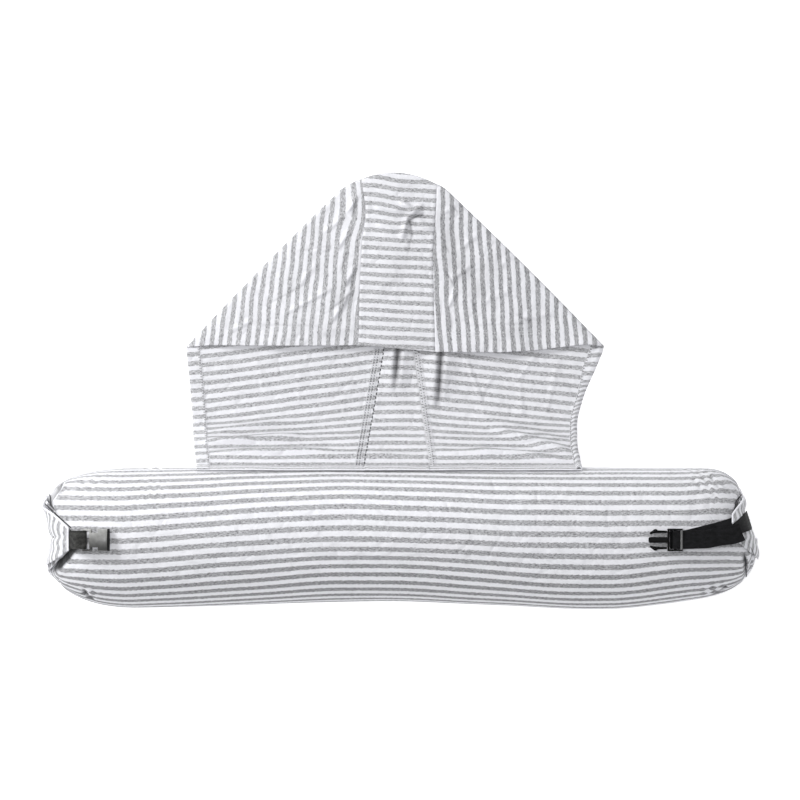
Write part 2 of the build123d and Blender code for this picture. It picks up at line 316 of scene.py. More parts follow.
def striped_jersey(name, grey, painted_far_side=False):
    """Single jersey with yarn-dyed stripes: heather grey with dark and light flecks, and white.

    Given for the roll, the last argument darkens its grey and lightens its white on the side away from the
    hood: painted shade and painted light.
    """
    make = Recipe(name)
    along, across = make.split(make.cloth())
    wobble = make.math("SUBTRACT", make.cloth_noise(330, 700, 3, 0.6), 0.5)
    stripe = make.wave(make.math("ADD", across, make.math("MULTIPLY", wobble, 2.6 * MM)), STRIPE)
    stripe = make.math("ADD", make.math("MULTIPLY", stripe, 2.1), 0.50)
    mask = make.add("Clamp")
    make.put(stripe, mask.inputs[0])
    fleck = make.cloth_noise(300, 1100, 4, 0.75)
    cloud = make.cloth_noise(45, 160)
    flecked = make.ramp(fleck, [(0.34, tinted(grey, 0.22)), (0.50, grey), (0.65, tinted(grey, 1.6))])
    heather = make.times(flecked, make.ramp(cloud, [(0.35, 0.88), (0.65, 1.0)]))
    if painted_far_side:
        # painted shade: the grey darkens towards the side away from the hood
        round_roll = make.math("ADD", make.math("MULTIPLY", across, 5.0), 1.0)
        deep, bright = make.ramp(round_roll, FAR_SIDE_PAINTED_SHADE), make.ramp(round_roll, FAR_SIDE_PAINTED_LIGHT)
        heather = make.times(heather, deep)
    shade = make.ramp(fleck, [(0.3, tinted(WHITE, 0.90)), (0.62, WHITE)])
    if painted_far_side:
        # painted light: the white lightens a little in a band on that side
        shade = make.times(shade, bright)
    colour = make.mix(mask.outputs[0], shade, heather)
    # painted shade: the gap attribute darkens the colour towards near-black in folds, creases and grooves
    gap = make.add("Attribute")
    gap.attribute_name = "gap"
    colour = make.mix(gap.outputs["Fac"], colour, PAINTED_FOLD_SHADE)
    # knit: fine wales and courses, and the slack of a soft cloth over them
    knit = make.math("MULTIPLY", make.wave(along, WALE), make.wave(across, COURSE))
    knit = make.math("ADD", knit, make.math("MULTIPLY", fleck, 2.5))
    fine = make.bump(knit, 0.09 * MM)
    soft = make.bump(make.cloth_noise(42, 60, 5, 0.6), 3.0 * MM, fine, 0.8)
    crinkle = make.math("ABSOLUTE", make.math("SUBTRACT", make.cloth_noise(26, 34), 0.5))
    crinkle = make.math("MINIMUM", crinkle, 0.09)
    return make.finish({
        "Base Color": colour, "Normal": make.bump(crinkle, 9.0 * MM, soft, 0.9),
        "Roughness": make.ramp(fleck, [(0.2, 0.82), (0.8, 0.95)]),
        "Sheen Weight": 0.15, "Sheen Roughness": 0.6, "Specular IOR Level": 0.2,
    })


def plain_cloth(name, colour):
    """Woven or knitted plain cloth for threads, tapes and the lining."""
    make = Recipe(name)
    grain = make.noise(make.place(), 1800, 3)
    return make.finish({
        "Base Color": make.ramp(grain, [(0.3, tinted(colour, 0.86)), (0.7, colour)]),
        "Normal": make.bump(grain, 0.1 * MM),
        "Roughness": make.ramp(grain, [(0.2, 0.75), (0.8, 0.92)]),
        "Specular IOR Level": 0.2,
    })


def webbing(name, colour):
    """Flat woven webbing: fine ribs across, with warp threads crossing over them."""
    make = Recipe(name)
    along, across = make.split(make.cloth())
    weave = make.math("MULTIPLY", make.wave(along, 1.1 * MM), make.wave(across, 1.6 * MM))
    fuzz = make.cloth_noise(700, 1400, 3)
    height = make.math("ADD", weave, fuzz)
    tone = make.ramp(height, [(0.0, tinted(colour, 0.5)), (0.6, colour), (1.0, tinted(colour, 2.3))])
    # lighter and darker blotches at random: painted light and shade of the webbing's soft folds
    painted_fold_mottle = make.ramp(make.cloth_noise(150, 260, 3, 0.6), [(0.38, 0.55), (0.66, 1.6)])
    return make.finish({
        "Base Color": make.times(tone, painted_fold_mottle), "Normal": make.bump(height, 0.4 * MM),
        "Roughness": make.ramp(fuzz, [(0.2, 0.6), (0.8, 0.8)]), "Specular IOR Level": 0.2,
    })


def moulded(name, colour, roughness=0.38, gloss=0.5, painted_light_span=None):
    """Moulded acetal: faintly mottled, with fine scratches in its gloss.

    The last argument gives the y at which painted shade darkens it most and the y by which painted light
    has paled it.
    """
    make = Recipe(name)
    place = make.place()
    mottle = make.noise(place, 300, 4)
    tone = make.ramp(mottle, [(0.3, tinted(colour, 0.8)), (0.75, tinted(colour, 1.15))])
    if painted_light_span:
        away = make.math("SUBTRACT", make.split(place)[1], painted_light_span[0])
        share = make.math("DIVIDE", away, painted_light_span[1] - painted_light_span[0])
        tone = make.times(tone, make.ramp(share, [(0.0, 0.3), (0.5, 1.0), (1.0, 2.2)]))
    fine = make.noise(place, 2600, 2)
    return make.finish({
        "Base Color": tone,
        "Roughness": make.ramp(fine, [(0.2, roughness - 0.05), (0.8, roughness + 0.08)]),
        "Normal": make.bump(fine, 0.03 * MM), "Specular IOR Level": gloss,
    })


JERSEY = striped_jersey("striped_jersey", (0.44, 0.44, 0.455), painted_far_side=True)
HOOD_JERSEY = striped_jersey("striped_jersey_relaxed", (0.50, 0.50, 0.515))
# darker grey for the hood's right front panel: painted shade, as less light falls there
PAINTED_SHADE_HOOD_JERSEY = striped_jersey("striped_jersey_far_side", (0.42, 0.42, 0.435))
THREAD = plain_cloth("thread", (0.86, 0.86, 0.88))
# near-black thread: painted shade along the seams
SEAM_SHADE_THREAD = plain_cloth("dark_thread", (0.06, 0.06, 0.065))
# grey for the looper stitches: painted shade between the threads
STITCH_SHADE_THREAD = plain_cloth("grey_thread", (0.13, 0.13, 0.14))
TAPE = plain_cloth("tape", (0.85, 0.85, 0.87))
COIL = plain_cloth("coil", (0.80, 0.80, 0.83))
LINER = plain_cloth("liner", (0.88, 0.87, 0.84))
BLACK_WEB = webbing("black_webbing", (0.008, 0.008, 0.009))
CHARCOAL_WEB = webbing("charcoal_webbing", (0.035, 0.035, 0.033))
BLACK_PLASTIC = moulded("black_plastic", (0.002, 0.002, 0.0022), 0.45, 0.06)
# the plug's bar at its webbing end: glossier black acetal, and its lighter colour a painted highlight
PAINTED_HIGHLIGHT_PLASTIC = moulded("worn_black_plastic", (0.05, 0.05, 0.05), 0.28, 1.0)
# grey acetal, darker on its side away from the hood and paler towards it: painted shade and painted light
GREY_PLASTIC = moulded(
    "grey_plastic", (0.14, 0.14, 0.135), 0.34, 0.6, painted_light_span=(STRAP_Y - 10 * MM, STRAP_Y + 11 * MM)
)
# near-black for the socket's mouth: painted shade of its opening
MOUTH_SHADE_PLASTIC = moulded("dark_plastic", (0.005, 0.005, 0.005), 0.45, 0.15)
METAL = moulded("zipper_metal", (0.6, 0.6, 0.62), 0.3)


def paint(piece, material):
    piece.data.materials.clear()
    piece.data.materials.append(material)
    return piece


def stand_for(piece, node, body=None):
    """Makes a painted piece the looks of a CAD node, hiding the node, and lets it ride on a body if one is
    given.
    """
    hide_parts(node)
    if body:
        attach(piece, body)


# ------------------------------------------------------------------ the stuffed roll
DOME = 95 * MM            # length over which each end rounds off
DOME_POWER = 0.24                               # how blunt the rounding is
FLAT_SOFTNESS = 5 * MM                          # how softly the roll meets the table
# How far each end is drawn along X at a distance from the axis towards the hood, both in mm:
# the straps draw both ends in, and the seams stand out beside them
LEFT_DRAW = [
    (-73, 7), (-50, 4.6), (-44, 3), (-38, -1), (-33, -1.9), (-28, 0.5), (-14, 5.5), (-4, 6.4),
    (0.5, 7.8), (9, 5.2), (20, 2), (29, -1.6), (33, -7), (38, -9), (43, -8), (50, -3.7), (58, -5), (73, -7),
]
RIGHT_DRAW = [
    (-73, 1), (-50, -2.3), (-44, -1.3), (-31, 0.4), (-24, 2.4), (-17, 3.4), (-9, 1.5), (-2, -1),
    (4, -2.2), (16, -7.8), (26, -11.5), (29, -11.2), (34, -8.5), (42, -7.4), (51, -7), (60, -6), (73, -6),
]
ZIP_TURN = math.radians(110)                    # the zipper's place round the roll, from the top
ZIP_LOW, ZIP_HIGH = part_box("zipper_tape_upper")


def roll_size(x, grow=0.0):
    """Share of the full radius at a place along the roll."""
    left = np.clip((END_X + grow - np.abs(x)) / DOME, 0, 1)
    return np.maximum(1 - (1 - left) ** 2, 1e-5) ** DOME_POWER


def lean(x, y):
    """Shift along X of a point near the roll's ends."""
    left, right = (
        sum(np.interp(y / MM + k, [p[0] for p in draw], [p[1] for p in draw]) for k in (-1.5, 0, 1.5))
        for draw in (LEFT_DRAW, RIGHT_DRAW)
    )
    return np.where(x < 0, left, right) / 3 * MM * smooth((np.abs(x) - 0.30) / 0.06)


def plan_shift(x, y):
    """How far the plan of the roll departs towards the hood from a straight, even one."""
    front, back = smooth(-y / ROLL_R * 1.6), smooth(y / ROLL_R * 1.2)
    waist = 6.3 * MM * bump(x, -0.025, 0.145) - 2.0 * MM * bump(x, 0.19, 0.07)
    taper = 6.5 * MM * smooth((x - 0.22) / 0.09)
    return front * (waist + taper) + back * 6.0 * MM * bump(x, 0.345, 0.030)


def zipper_gap(x, arc):
    """1 where the cover is open over the zipper, 0 away from it."""
    across = np.abs(arc - ZIP_TURN * ROLL_R)
    along = smooth((x - ZIP_LOW.x) / (3 * MM)) * smooth((ZIP_HIGH.x - x) / (3 * MM))
    return smooth((6.6 * MM - across) / (2.0 * MM)) * along


# Grooves near both ends, as (start, end, width, depth) in mm; their depth is also painted into the cover's
# colour as shade
END_GROOVES = [
    # left: beside the tab's upper edge, the gap under its lower edge, a pleat and a pinch
    ((-382, 41), (-341, 2), 1.2, 5.0), ((-337, -6), (-378, -52), 2.7, 20.0),
    ((-372, 60), (-365.5, 24), 1.5, 5.0), ((-363, 58), (-352, 44), 2.4, 1.6),
    ((-336, -54.5), (-327, -61.5), 1.3, 5.0), ((-332, -60), (-321, -66), 1.3, 5.0),
    # right: the seam above the webbing, pleats of the end cloth, a pinch, and ripples
    ((357, 54), (346, 12), 1.0, 4.0), ((351, 3), (377, -25), 1.5, 4.5),
    ((359, -12), (363, -50), 1.7, 6.0), ((370, -12), (363, -46), 1.4, 4.0),
    ((344, -50), (328, -61), 1.4, 5.0), ((335, -57), (317, -65), 1.4, 4.0),
    ((311, 70), (323, 55), 1.5, 1.1), ((321, 68), (335, 51), 1.5, 1.2),
    ((303, 64), (317, 48), 1.6, 0.7), ((333, 60), (348, 42), 1.5, 0.9),
]


def end_grooves(x, around):
    """Depth of the grooves in the cover near both ends, seen from above."""
    y = ROLL_R * roll_size(x) * np.sin(around)
    y = y + plan_shift(x, y)
    return creases(x + lean(x, y), y, END_GROOVES) * smooth((np.cos(around) - 0.12) / 0.3)


def roll_puckers(x, around):
    """Height of the cover's puckers, in metres, at a place along and around the roll."""
    arc = around * ROLL_R
    height = 0.3 * MM * ripple(x, arc, 1, 0.09)
    height = height + 0.5 * MM * ripple(x * 0.4, arc, 2, 0.06) * smooth((np.abs(x) - 0.2) / 0.1)
    # gathers of the back seam near each end, and a pinch at each lower corner
    for x0, y0, turn, pitch, long, wide, high in (
        (0.318, 0.070, 1.25, 0.0105, 0.018, 0.022, 0.4),
        (0.334, 0.058, 1.15, 0.0105, 0.016, 0.016, 0.35),
        (-0.258, 0.078, 1.50, 0.0110, 0.012, 0.012, 1.2),
        (-0.326, 0.060, 1.20, 0.0120, 0.016, 0.014, 1.0),
        (-0.329, -0.061, -0.80, 0.0085, 0.009, 0.008, 1.7),
        (0.327, -0.066, 0.75, 0.0090, 0.012, 0.011, 1.5),
    ):
        a0 = math.copysign(ROLL_R * math.asin(min(abs(y0) / ROLL_R, 1)), y0)
        u = (x - x0) * math.sin(turn) - (arc - a0) * math.cos(turn)
        w = (x - x0) * math.cos(turn) + (arc - a0) * math.sin(turn)
        height = height + high * MM * np.cos(u / pitch * 2 * math.pi) * np.exp(
            -((u / wide) ** 2) - (w / long) ** 2
        )
    # the end seams draw in, with short gathers running out of them
    side = np.abs(x)
    near = smooth((side - (END_X - 0.040)) / 0.030)
    waves = np.sin(around * 19 + 2.2 * np.sin(around * 3 + x * 9))
    height = height + near * 0.55 * MM * waves
    height = height - 1.5 * MM * bump(side, SEAM_X, 1.6 * MM) - end_grooves(x, around)
    opened = zipper_gap(x, arc)
    return height * (1 - opened) - 2.6 * MM * opened


def roll_point(x, around, inset=0.0, puckers=True):
    """Point of the cover: x along the roll, and the angle round it from the top towards the hood."""
    size = roll_size(x)
    radius = ROLL_R * size - inset
    if puckers:
        radius = radius + roll_puckers(x, around) * smooth(size / 0.5)
    y, z = radius * np.sin(around), radius * np.cos(around)
    y = y + plan_shift(x, y)
    z = z + AXIS_Z - 1.5 * MM * bump(x, 0.0, 0.16) * smooth(z / ROLL_R)
    z = inset + FLAT_SOFTNESS * np.logaddexp(0, (z - inset) / FLAT_SOFTNESS) - FLAT_SOFTNESS * 0.02
    return np.stack([x + lean(x, y), y, np.maximum(z, inset)], -1)


def stripe_bow(x):
    """How far the stripes lie from the hood at x, against where they are at -64 mm."""
    d = x + 64 * MM
    left = -2.9 * MM * (np.sqrt(1 + (np.clip(d, -0.225, 0) / (40 * MM)) ** 2) - 1)
    left = left + 1.6 * MM * smooth((-0.29 - x) / 0.08)
    return left - 6.8 * MM * smooth(np.maximum(d, 0) / (235 * MM))


def roll_cloth(x, around):
    """Place on the cut cloth: stripes run along the roll.

    On the hood's side they stay parallel over the ends; on the other they draw in with the cloth.
    """
    size = roll_size(x)
    drawn = np.arctan2(size * np.sin(around), np.cos(around))
    drawn = drawn + 2 * math.pi * np.round((around - drawn) / (2 * math.pi))
    straight = np.arcsin(np.clip(size * np.sin(around), -1, 1))
    share = smooth((math.radians(88) - around) / math.radians(22)) * smooth(around / 0.3)
    turn = drawn * (1 - share) + straight * share
    arc = turn * ROLL_R - stripe_bow(x)
    # the gathers near the right end and the drag of the end seams bend the stripes
    near_top = bump(arc, 0.070, 0.022)
    slant = x + 0.5 * arc
    zigzag = np.sin(slant / (9.5 * MM) * 2 * math.pi) * bump(slant, 0.358, 0.013)
    step = smooth((slant - 0.335) / 0.04) - 0.5
    arc = arc + (1.7 * MM * zigzag + 3.4 * MM * step) * bump(arc, 0.070, 0.032)
    arc = arc + 0.8 * MM * np.sin(x / (9 * MM) * 2 * math.pi) * bump(x, -0.262, 0.014) * near_top
    front = smooth(-arc / 0.03) * smooth((arc + 0.1) / 0.03)
    arc = arc + 3.0 * MM * smooth((np.abs(x) - 0.335) / 0.03) * front
    arc = arc + 0.5 * MM * ripple(x, around * ROLL_R, 4, 0.12)
    v = arc / ROLL_STRETCH + STRIPE / 4 - 8.5 * MM
    # the left end's cloth comes up over the edge, its stripe running beside the seam
    y = ROLL_R * size * np.sin(around)
    past = np.interp(y / MM, [26, 32, 38, 48, 59, 66], [-368, -365.5, -364.8, -358, -352, -347]) * MM
    past = past - x - lean(x, y)
    beside = np.where(past > 0.3 * MM, 0.25 * STRIPE + np.maximum(past - 4.5 * MM, 0), 0.75 * STRIPE)
    v = np.where((past > -1.2 * MM) & (y > 26 * MM) & (np.cos(around) > 0.25), beside, v)
    return np.stack([x + 0 * arc, v], -1)


CROWDING = 0.86 * math.pi / 2                   # packs the roll's rows closer towards its ends


def roll_grid(inset, rows, columns, x_limit):
    """Points and cloth places of the roll's skin, from one end seam to the other."""
    x = x_limit * np.sin(np.linspace(-1, 1, rows) * CROWDING) / math.sin(CROWDING)
    around = np.linspace(-math.pi, math.pi, columns + 1)
    X, A = np.meshgrid(x, around, indexing="ij")
    deeper = inset * (1 + 2.6 * smooth((np.abs(X) - 0.30) / 0.04))
    points = roll_point(X, A, deeper, puckers=inset == 0)
    # the third result is painted shade: the grooves' depth darkens the cloth's colour
    return points[:, :-1], roll_cloth(X, A), np.clip(end_grooves(X, A) / (5 * MM), 0, 0.85)[:, :-1]


def cover():
    points, uv, gap = roll_grid(0.0, 560, 380, SEAM_X)
    piece = grid_piece("bolster_cover", points, uv, wrap=True, gap=gap)
    thicken(piece, 0.9 * MM)
    return piece


def end_panel(side):
    """The round panel at an end, its stripes running across the roll, with a small sewn rim."""
    rows, columns = 30, 200
    depth = np.linspace(0, 1, rows)
    x = SEAM_X + (END_X - SEAM_X) * np.sin(depth * math.pi / 2)
    x[-1] = END_X - 1e-5
    around = np.linspace(-math.pi, math.pi, columns + 1)
    X, A = np.meshgrid(x * side, around, indexing="ij")
    P = roll_point(X, A)
    flat = smooth((depth[:, None] - 0.55) / 0.45)[..., None]
    P[..., 1:] = P[..., 1:] * (1 - flat) + np.array([0, AXIS_Z]) * flat
    uv = np.stack([P[..., 1], P[..., 2] + 3 * MM * np.sin(P[..., 1] * 90)], -1)
    return grid_piece(f"end_panel_{'right' if side > 0 else 'left'}", P[:, :-1], uv, wrap=True)


def roof(x, y, grow):
    """Height of a layer lying `grow` above the roll, over a plan place."""
    straight_x, straight_y = x, y
    for _ in range(5):
        straight_x = x - lean(straight_x, straight_y)
        straight_y = y - plan_shift(straight_x, straight_y)
    radius = ROLL_R * roll_size(straight_x, grow) + grow
    return AXIS_Z + np.sqrt(np.maximum(radius**2 - straight_y**2, 1e-12))


def end_reach(y, z, grow):
    """How far from the middle a layer lying `grow` outside the roll's end is, at (y, z)."""
    share = np.clip(np.hypot(y, z - AXIS_Z) / (ROLL_R + grow), 0, 0.999)
    left = 1 - np.sqrt(1 - share ** (1 / DOME_POWER))
    return END_X + grow - DOME * left


# ------------------------------------------------------------------ the hood
HUG_RADIUS = math.hypot(NECK.y, NECK.z - AXIS_Z)
HUG_START = math.atan2(NECK.z - AXIS_Z, NECK.y)
HUG_END = math.radians(-12)                      # where the hood's back leaves the roll
SLOPE = math.radians(38)
TURN_OUT = 12 * MM                               # cloth used in turning away from the roll
LEVEL_OUT = 46 * MM                              # and in levelling out onto the table
LIE_Z = 0.9 * MM                                 # middle of the cloth where it lies flat
STEP = 0.25 * MM


def back_profile():
    """The hood's back seen along X, as (distance from the neck seam, y, z, angle)."""
    t = np.arange(0, 0.5, STEP)
    hug = HUG_RADIUS * (HUG_START - HUG_END)

    def angles(straight):
        hugging = HUG_START - np.minimum(t, hug) / HUG_RADIUS - math.pi / 2
        left = smooth((t - hug) / TURN_OUT)
        level = smooth((t - hug - TURN_OUT - straight) / LEVEL_OUT)
        return hugging * (1 - left) - SLOPE * left * (1 - level)

    lows = [(s, np.sum(np.sin(angles(s))) * STEP) for s in np.arange(0, 0.12, 0.5 * MM)]
    straight = min(lows, key=lambda low: abs(NECK.z + low[1] - LIE_Z))[0]
    angle = angles(straight)
    y = NECK.y + np.concatenate([[0], np.cumsum(np.cos(angle[:-1]) * STEP)])
    z = NECK.z + np.concatenate([[0], np.cumsum(np.sin(angle[:-1]) * STEP)])
    return t, y, np.maximum(z, LIE_Z), angle


PROFILE = back_profile()
FLARE = HUG_RADIUS * (HUG_START - HUG_END)       # cloth length down to where it leaves the roll


def y_from_neck(u):
    """y of the back layer at a distance over the cloth from the neck seam."""
    return np.interp(u, PROFILE[0], PROFILE[1])


def u_at(y):
    """Distance from the neck seam to where the back layer, past the roll, is at y."""
    past = PROFILE[0] > FLARE
    return np.interp(y, PROFILE[1][past], PROFILE[0][past])


CORNER_Y = 200 * MM
LEFT_SIDE = [(66, -214), (100, -218), (130, -219.5), (165, -222.5), (200, -226)]
RIGHT_SIDE = [(66, 191), (78, 189), (96, 185), (124, 185), (152, 193), (176, 204), (200, 214)]
LEFT_SHOULDER, RIGHT_SHOULDER = (-64 * MM, 365 * MM), (47 * MM, 366 * MM)


def line_through(points):
    """x as a function of y through (y, x) points given in millimetres, gently rounded."""
    ys, xs = [MM * p[0] for p in points], [MM * p[1] for p in points]

    def line(y):
        return sum(np.interp(y + shift * MM, ys, xs) for shift in (-6, -2, 2, 6)) / 4

    return line


LEFT_FREE, RIGHT_FREE = line_through(LEFT_SIDE), line_through(RIGHT_SIDE)
BACK_SEAM_LEFT = line_through([(66, -40), (78, -38.5), (200, -17.5), (384, -43)])
BACK_SEAM_RIGHT = line_through([(66, 31), (78, 30), (200, 13), (384, 36)])
FRONT_SEAM_LEFT = line_through(
    [(190, -45), (260, -43.5), (312, -41), (340, -36.5), (358, -38.5), (384, -43)]
)
FRONT_SEAM_RIGHT = line_through([(190, 36), (250, 34.5), (300, 33.5), (345, 36.5), (384, 38)])


def crown_curve():
    """The crown's arc through both shoulders, as the three numbers of y = a x^2 + b x + c."""
    points = (LEFT_SHOULDER, (CROWN.x, CROWN.y), RIGHT_SHOULDER)
    return np.linalg.solve([[x**2, x, 1] for x, _ in points], [y for _, y in points])


CROWN_A, CROWN_B, CROWN_C = crown_curve()


def crown_line(x):
    x = np.clip(x, LEFT_SHOULDER[0], RIGHT_SHOULDER[0])
    return CROWN_A * x**2 + CROWN_B * x + CROWN_C


def crown_x(y, side):
    """x where the crown's arc is at height y, on one side."""
    root = np.sqrt(np.maximum(CROWN_B**2 - 4 * CROWN_A * (CROWN_C - y), 0))
    return (-CROWN_B - side * root) / (2 * CROWN_A)


def folded_edge(y, side):
    """x of the folded diagonal, and of the crown's arc above the shoulder."""
    shoulder = LEFT_SHOULDER if side < 0 else RIGHT_SHOULDER
    corner_x = (LEFT_SIDE if side < 0 else RIGHT_SIDE)[-1][1] * MM
    t = np.clip((y - CORNER_Y) / (shoulder[1] - CORNER_Y), 0, 1)
    diagonal = corner_x + (shoulder[0] - corner_x) * t + side * 2.2 * MM * np.sin(t * math.pi)
    return np.where(y < shoulder[1], diagonal, crown_x(y, side))


def outer_edge(y, side):
    free = (LEFT_FREE if side < 0 else RIGHT_FREE)(y)
    return np.where(y < CORNER_Y, free, folded_edge(y, side))


FRONT_HEM = [
    (-226, 200), (-200, 202), (-120, 201.5), (-44, 202), (38, 195), (105, 194.5), (140, 196.5),
    (177, 201), (195, 203), (214, 201),
]


def front_hem(x):
    return np.interp(x, [MM * p[0] for p in FRONT_HEM], [MM * p[1] for p in FRONT_HEM])


def fold_distance(x, y):
    """Distance inside the folded outline, along the surface."""
    y = np.maximum(y, CORNER_Y)
    left = (x - folded_edge(y, -1)) * 0.70
    right = (folded_edge(y, 1) - x) * 0.70
    return np.maximum(np.minimum(np.minimum(left, right), crown_line(x) - y), 0)


def seam_dip(x, seam_x):
    """A sewn seam: a narrow groove with the seam allowance raising the cloth beside it."""
    d = x - seam_x
    side = np.sign(seam_x + 5 * MM)
    return 0.45 * MM * bump(d * side, -2.6 * MM, 2.2 * MM) - 0.75 * MM * bump(d, 0, 0.9 * MM)


NECK_FOLDS = [
    ((-212, 97), (-95, 106), 3.6, 2.6), ((-214, 106), (-110, 124), 4.0, 1.7),
    ((-206, 90), (-60, 90), 3.2, 2.0), ((-210, 101), (-150, 99), 2.6, 1.6),
    ((188, 86), (84, 118), 4.2, 2.6), ((186, 96), (70, 130), 4.0, 1.4),
    ((180, 80), (60, 94), 3.4, 2.0), ((186, 90), (130, 96), 2.6, 1.5),
    ((-120, 84), (20, 86), 3.0, 1.2), ((20, 92), (110, 86), 3.2, 1.2),
]
HEM_FOLDS = [((2, 250), (-7, 142), 13, 7.0), ((45, 250), (37, 126), 13, 7.0)]
HEM_GROOVES = [((2, 262), (-7, 146), 3.4, 7.0), ((46, 260), (38, 122), 3.4, 7.0)]
FOLDED_CREASES = [
    ((-155, 196), (-140, 150), 2.0, 0.9), ((64, 200), (90, 130), 2.0, 0.9),
    ((150, 206), (120, 160), 2.0, 0.8), ((-106, 186), (-108, 138), 2.4, 0.6),
    ((-186, 190), (-176, 160), 2.2, 0.7), ((124, 168), (128, 122), 2.6, 0.9),
    ((168, 196), (150, 120), 3.0, 0.8), ((100, 176), (84, 150), 2.2, 0.7),
]


def back_height(x, u):
    """Wrinkles of the back layer."""
    y = y_from_neck(u)
    edge = np.minimum(x - outer_edge(y, -1), outer_edge(y, 1) - x)
    calm = smooth(edge / 0.012) * smooth((0.235 - y) / 0.025)
    lying = smooth((u - FLARE) / 0.02)
    height = 0.5 * MM * ripple(x, y, 6, 0.08) * calm
    height = height + 2.2 * creases(x, y, NECK_FOLDS) * lying
    waves = np.sin(u / (9.5 * MM) * 2 * math.pi / 2.1 + 1.5 * ripple(x, y * 0, 8, 0.2))
    height = height + 1.1 * MM * waves * smooth((0.135 - y) / 0.04) * lying
    height = height + creases(x, y, HEM_FOLDS) - creases(x, y, HEM_GROOVES)
    height = height + 1.6 * creases(x, y, FOLDED_CREASES)
    height = height + seam_dip(x, BACK_SEAM_LEFT(y)) + seam_dip(x, BACK_SEAM_RIGHT(y))
    low = np.where(lying > 0.5, -0.35 * MM, -1.0 * MM)
    return np.maximum(height * np.where(u < 2 * MM, 0.3, 1), low)


def back_point(x, u, above=0.0):
    """Point of the hood's back, `above` over the middle of its cloth."""
    y, z = (np.interp(u, PROFILE[0], PROFILE[k]) for k in (1, 2))
    angle = np.interp(u, PROFILE[0], PROFILE[3])
    high = back_height(x, u) + above
    return np.stack([x + 0 * u, y - np.sin(angle) * high, z + np.cos(angle) * high], -1)


FRONT_FOLDS = [
    ((-2, 356), (18, 338), 2.6, 3.2), ((24, 352), (6, 336), 2.6, 2.6),
    ((8, 344), (0, 310), 2.4, 2.6), ((-32, 348), (4, 343), 3.5, 1.6),
    ((14, 336), (34, 322), 2.8, 1.6), ((-28, 330), (-4, 322), 2.8, 1.2),
    ((-62, 262), (-46, 288), 2.2, 2.0), ((-77, 222), (-48, 266), 2.6, 1.9),
    ((-128, 232), (-66, 266), 2.6, 1.3), ((-70, 300), (-52, 326), 2.8, 1.4),
    ((-186, 214), (-150, 232), 2.6, 1.0), ((-96, 300), (-70, 306), 2.4, 0.9),
    ((-110, 262), (-86, 292), 3.0, 0.8), ((-58, 340), (-44, 362), 2.4, 1.6),
    ((-84, 318), (-56, 342), 2.8, 1.1), ((58, 300), (84, 322), 3.2, 1.4),
    ((48, 268), (78, 290), 2.8, 1.4), ((80, 245), (120, 262), 3.2, 1.0),
    ((120, 230), (165, 236), 3.2, 1.0), ((46, 236), (60, 264), 2.4, 1.2),
    ((42, 340), (62, 352), 2.4, 1.2), ((100, 280), (118, 300), 3.0, 0.8),
]
# Sharp creases among them, which hardly any light reaches, and broad soft patches: shallow grooves whose
# shade is also painted into the cloth's colour
FRONT_MARKS = [
    ((3, 331), (28, 343), 1.3, 1.0), ((8, 337), (13, 313), 1.3, 0.9), ((13, 324), (6, 294), 1.4, 0.7),
    ((44, 285), (60, 259), 1.5, 0.8), ((74, 252), (80, 235), 1.5, 0.8),
    ((119, 236), (140, 224), 1.5, 0.7), ((-82, 233), (-47, 261), 1.5, 0.8),
    ((-64, 276), (-55, 305), 1.5, 0.7), ((-150, 240), (-90, 272), 1.3, 0.45),
    ((-60, 244), (-48, 272), 1.4, 0.7), ((42, 318), (52, 296), 1.4, 0.6),
    ((-46, 352), (-52, 336), 1.4, 0.8), ((-116, 300), (-64, 308), 1.3, 0.35),
    ((50, 352), (62, 340), 1.3, 0.7), ((-170, 224), (-70, 222), 1.3, 0.35),
    ((60, 222), (150, 226), 1.3, 0.3), ((52, 240), (54, 216), 1.4, 0.6), ((90, 300), (98, 276), 1.4, 0.4),
    ((42, 352), (62, 262), 9, 0.35), ((60, 300), (84, 240), 9, 0.3), ((-70, 230), (-44, 300), 8, 0.25),
    ((-2, 350), (22, 326), 7, 0.3), ((-92, 210), (-46, 216), 6, 0.25), ((100, 208), (150, 228), 7, 0.2),
]
FRONT_LOFT = 8.0 * MM


def front_point(x, y, above=0.0):
    """Point of the hood's front layer, which is folded over the back one and stands off it."""
    inside = fold_distance(x, y)
    turn = 1 - np.clip(inside / (2.8 * MM), 0, 1)
    z = LIE_Z + 2.8 * MM * np.sqrt(np.maximum(1 - turn**2, 0))
    z = z + FRONT_LOFT * (1 - np.exp(-inside / 0.05))
    z = z + 6 * MM * bump(x, 0.197, 0.020) * smooth((0.224 - y) / 0.028)
    wrinkles = 1.0 * MM * ripple(x, y, 11, 0.07) + 1.9 * creases(x, y, FRONT_FOLDS)
    wrinkles = wrinkles - 0.9 * creases(x, y, FRONT_MARKS)
    wrinkles = wrinkles + seam_dip(x, FRONT_SEAM_LEFT(y)) + seam_dip(x, FRONT_SEAM_RIGHT(y))
    z = z + wrinkles * smooth(inside / 0.010) + above
    z = np.maximum(z, LIE_Z + 1.9 * MM * np.sqrt(np.maximum(1 - turn**2, 0)) + above)
    return np.stack([x + 0 * y, y, z], -1)


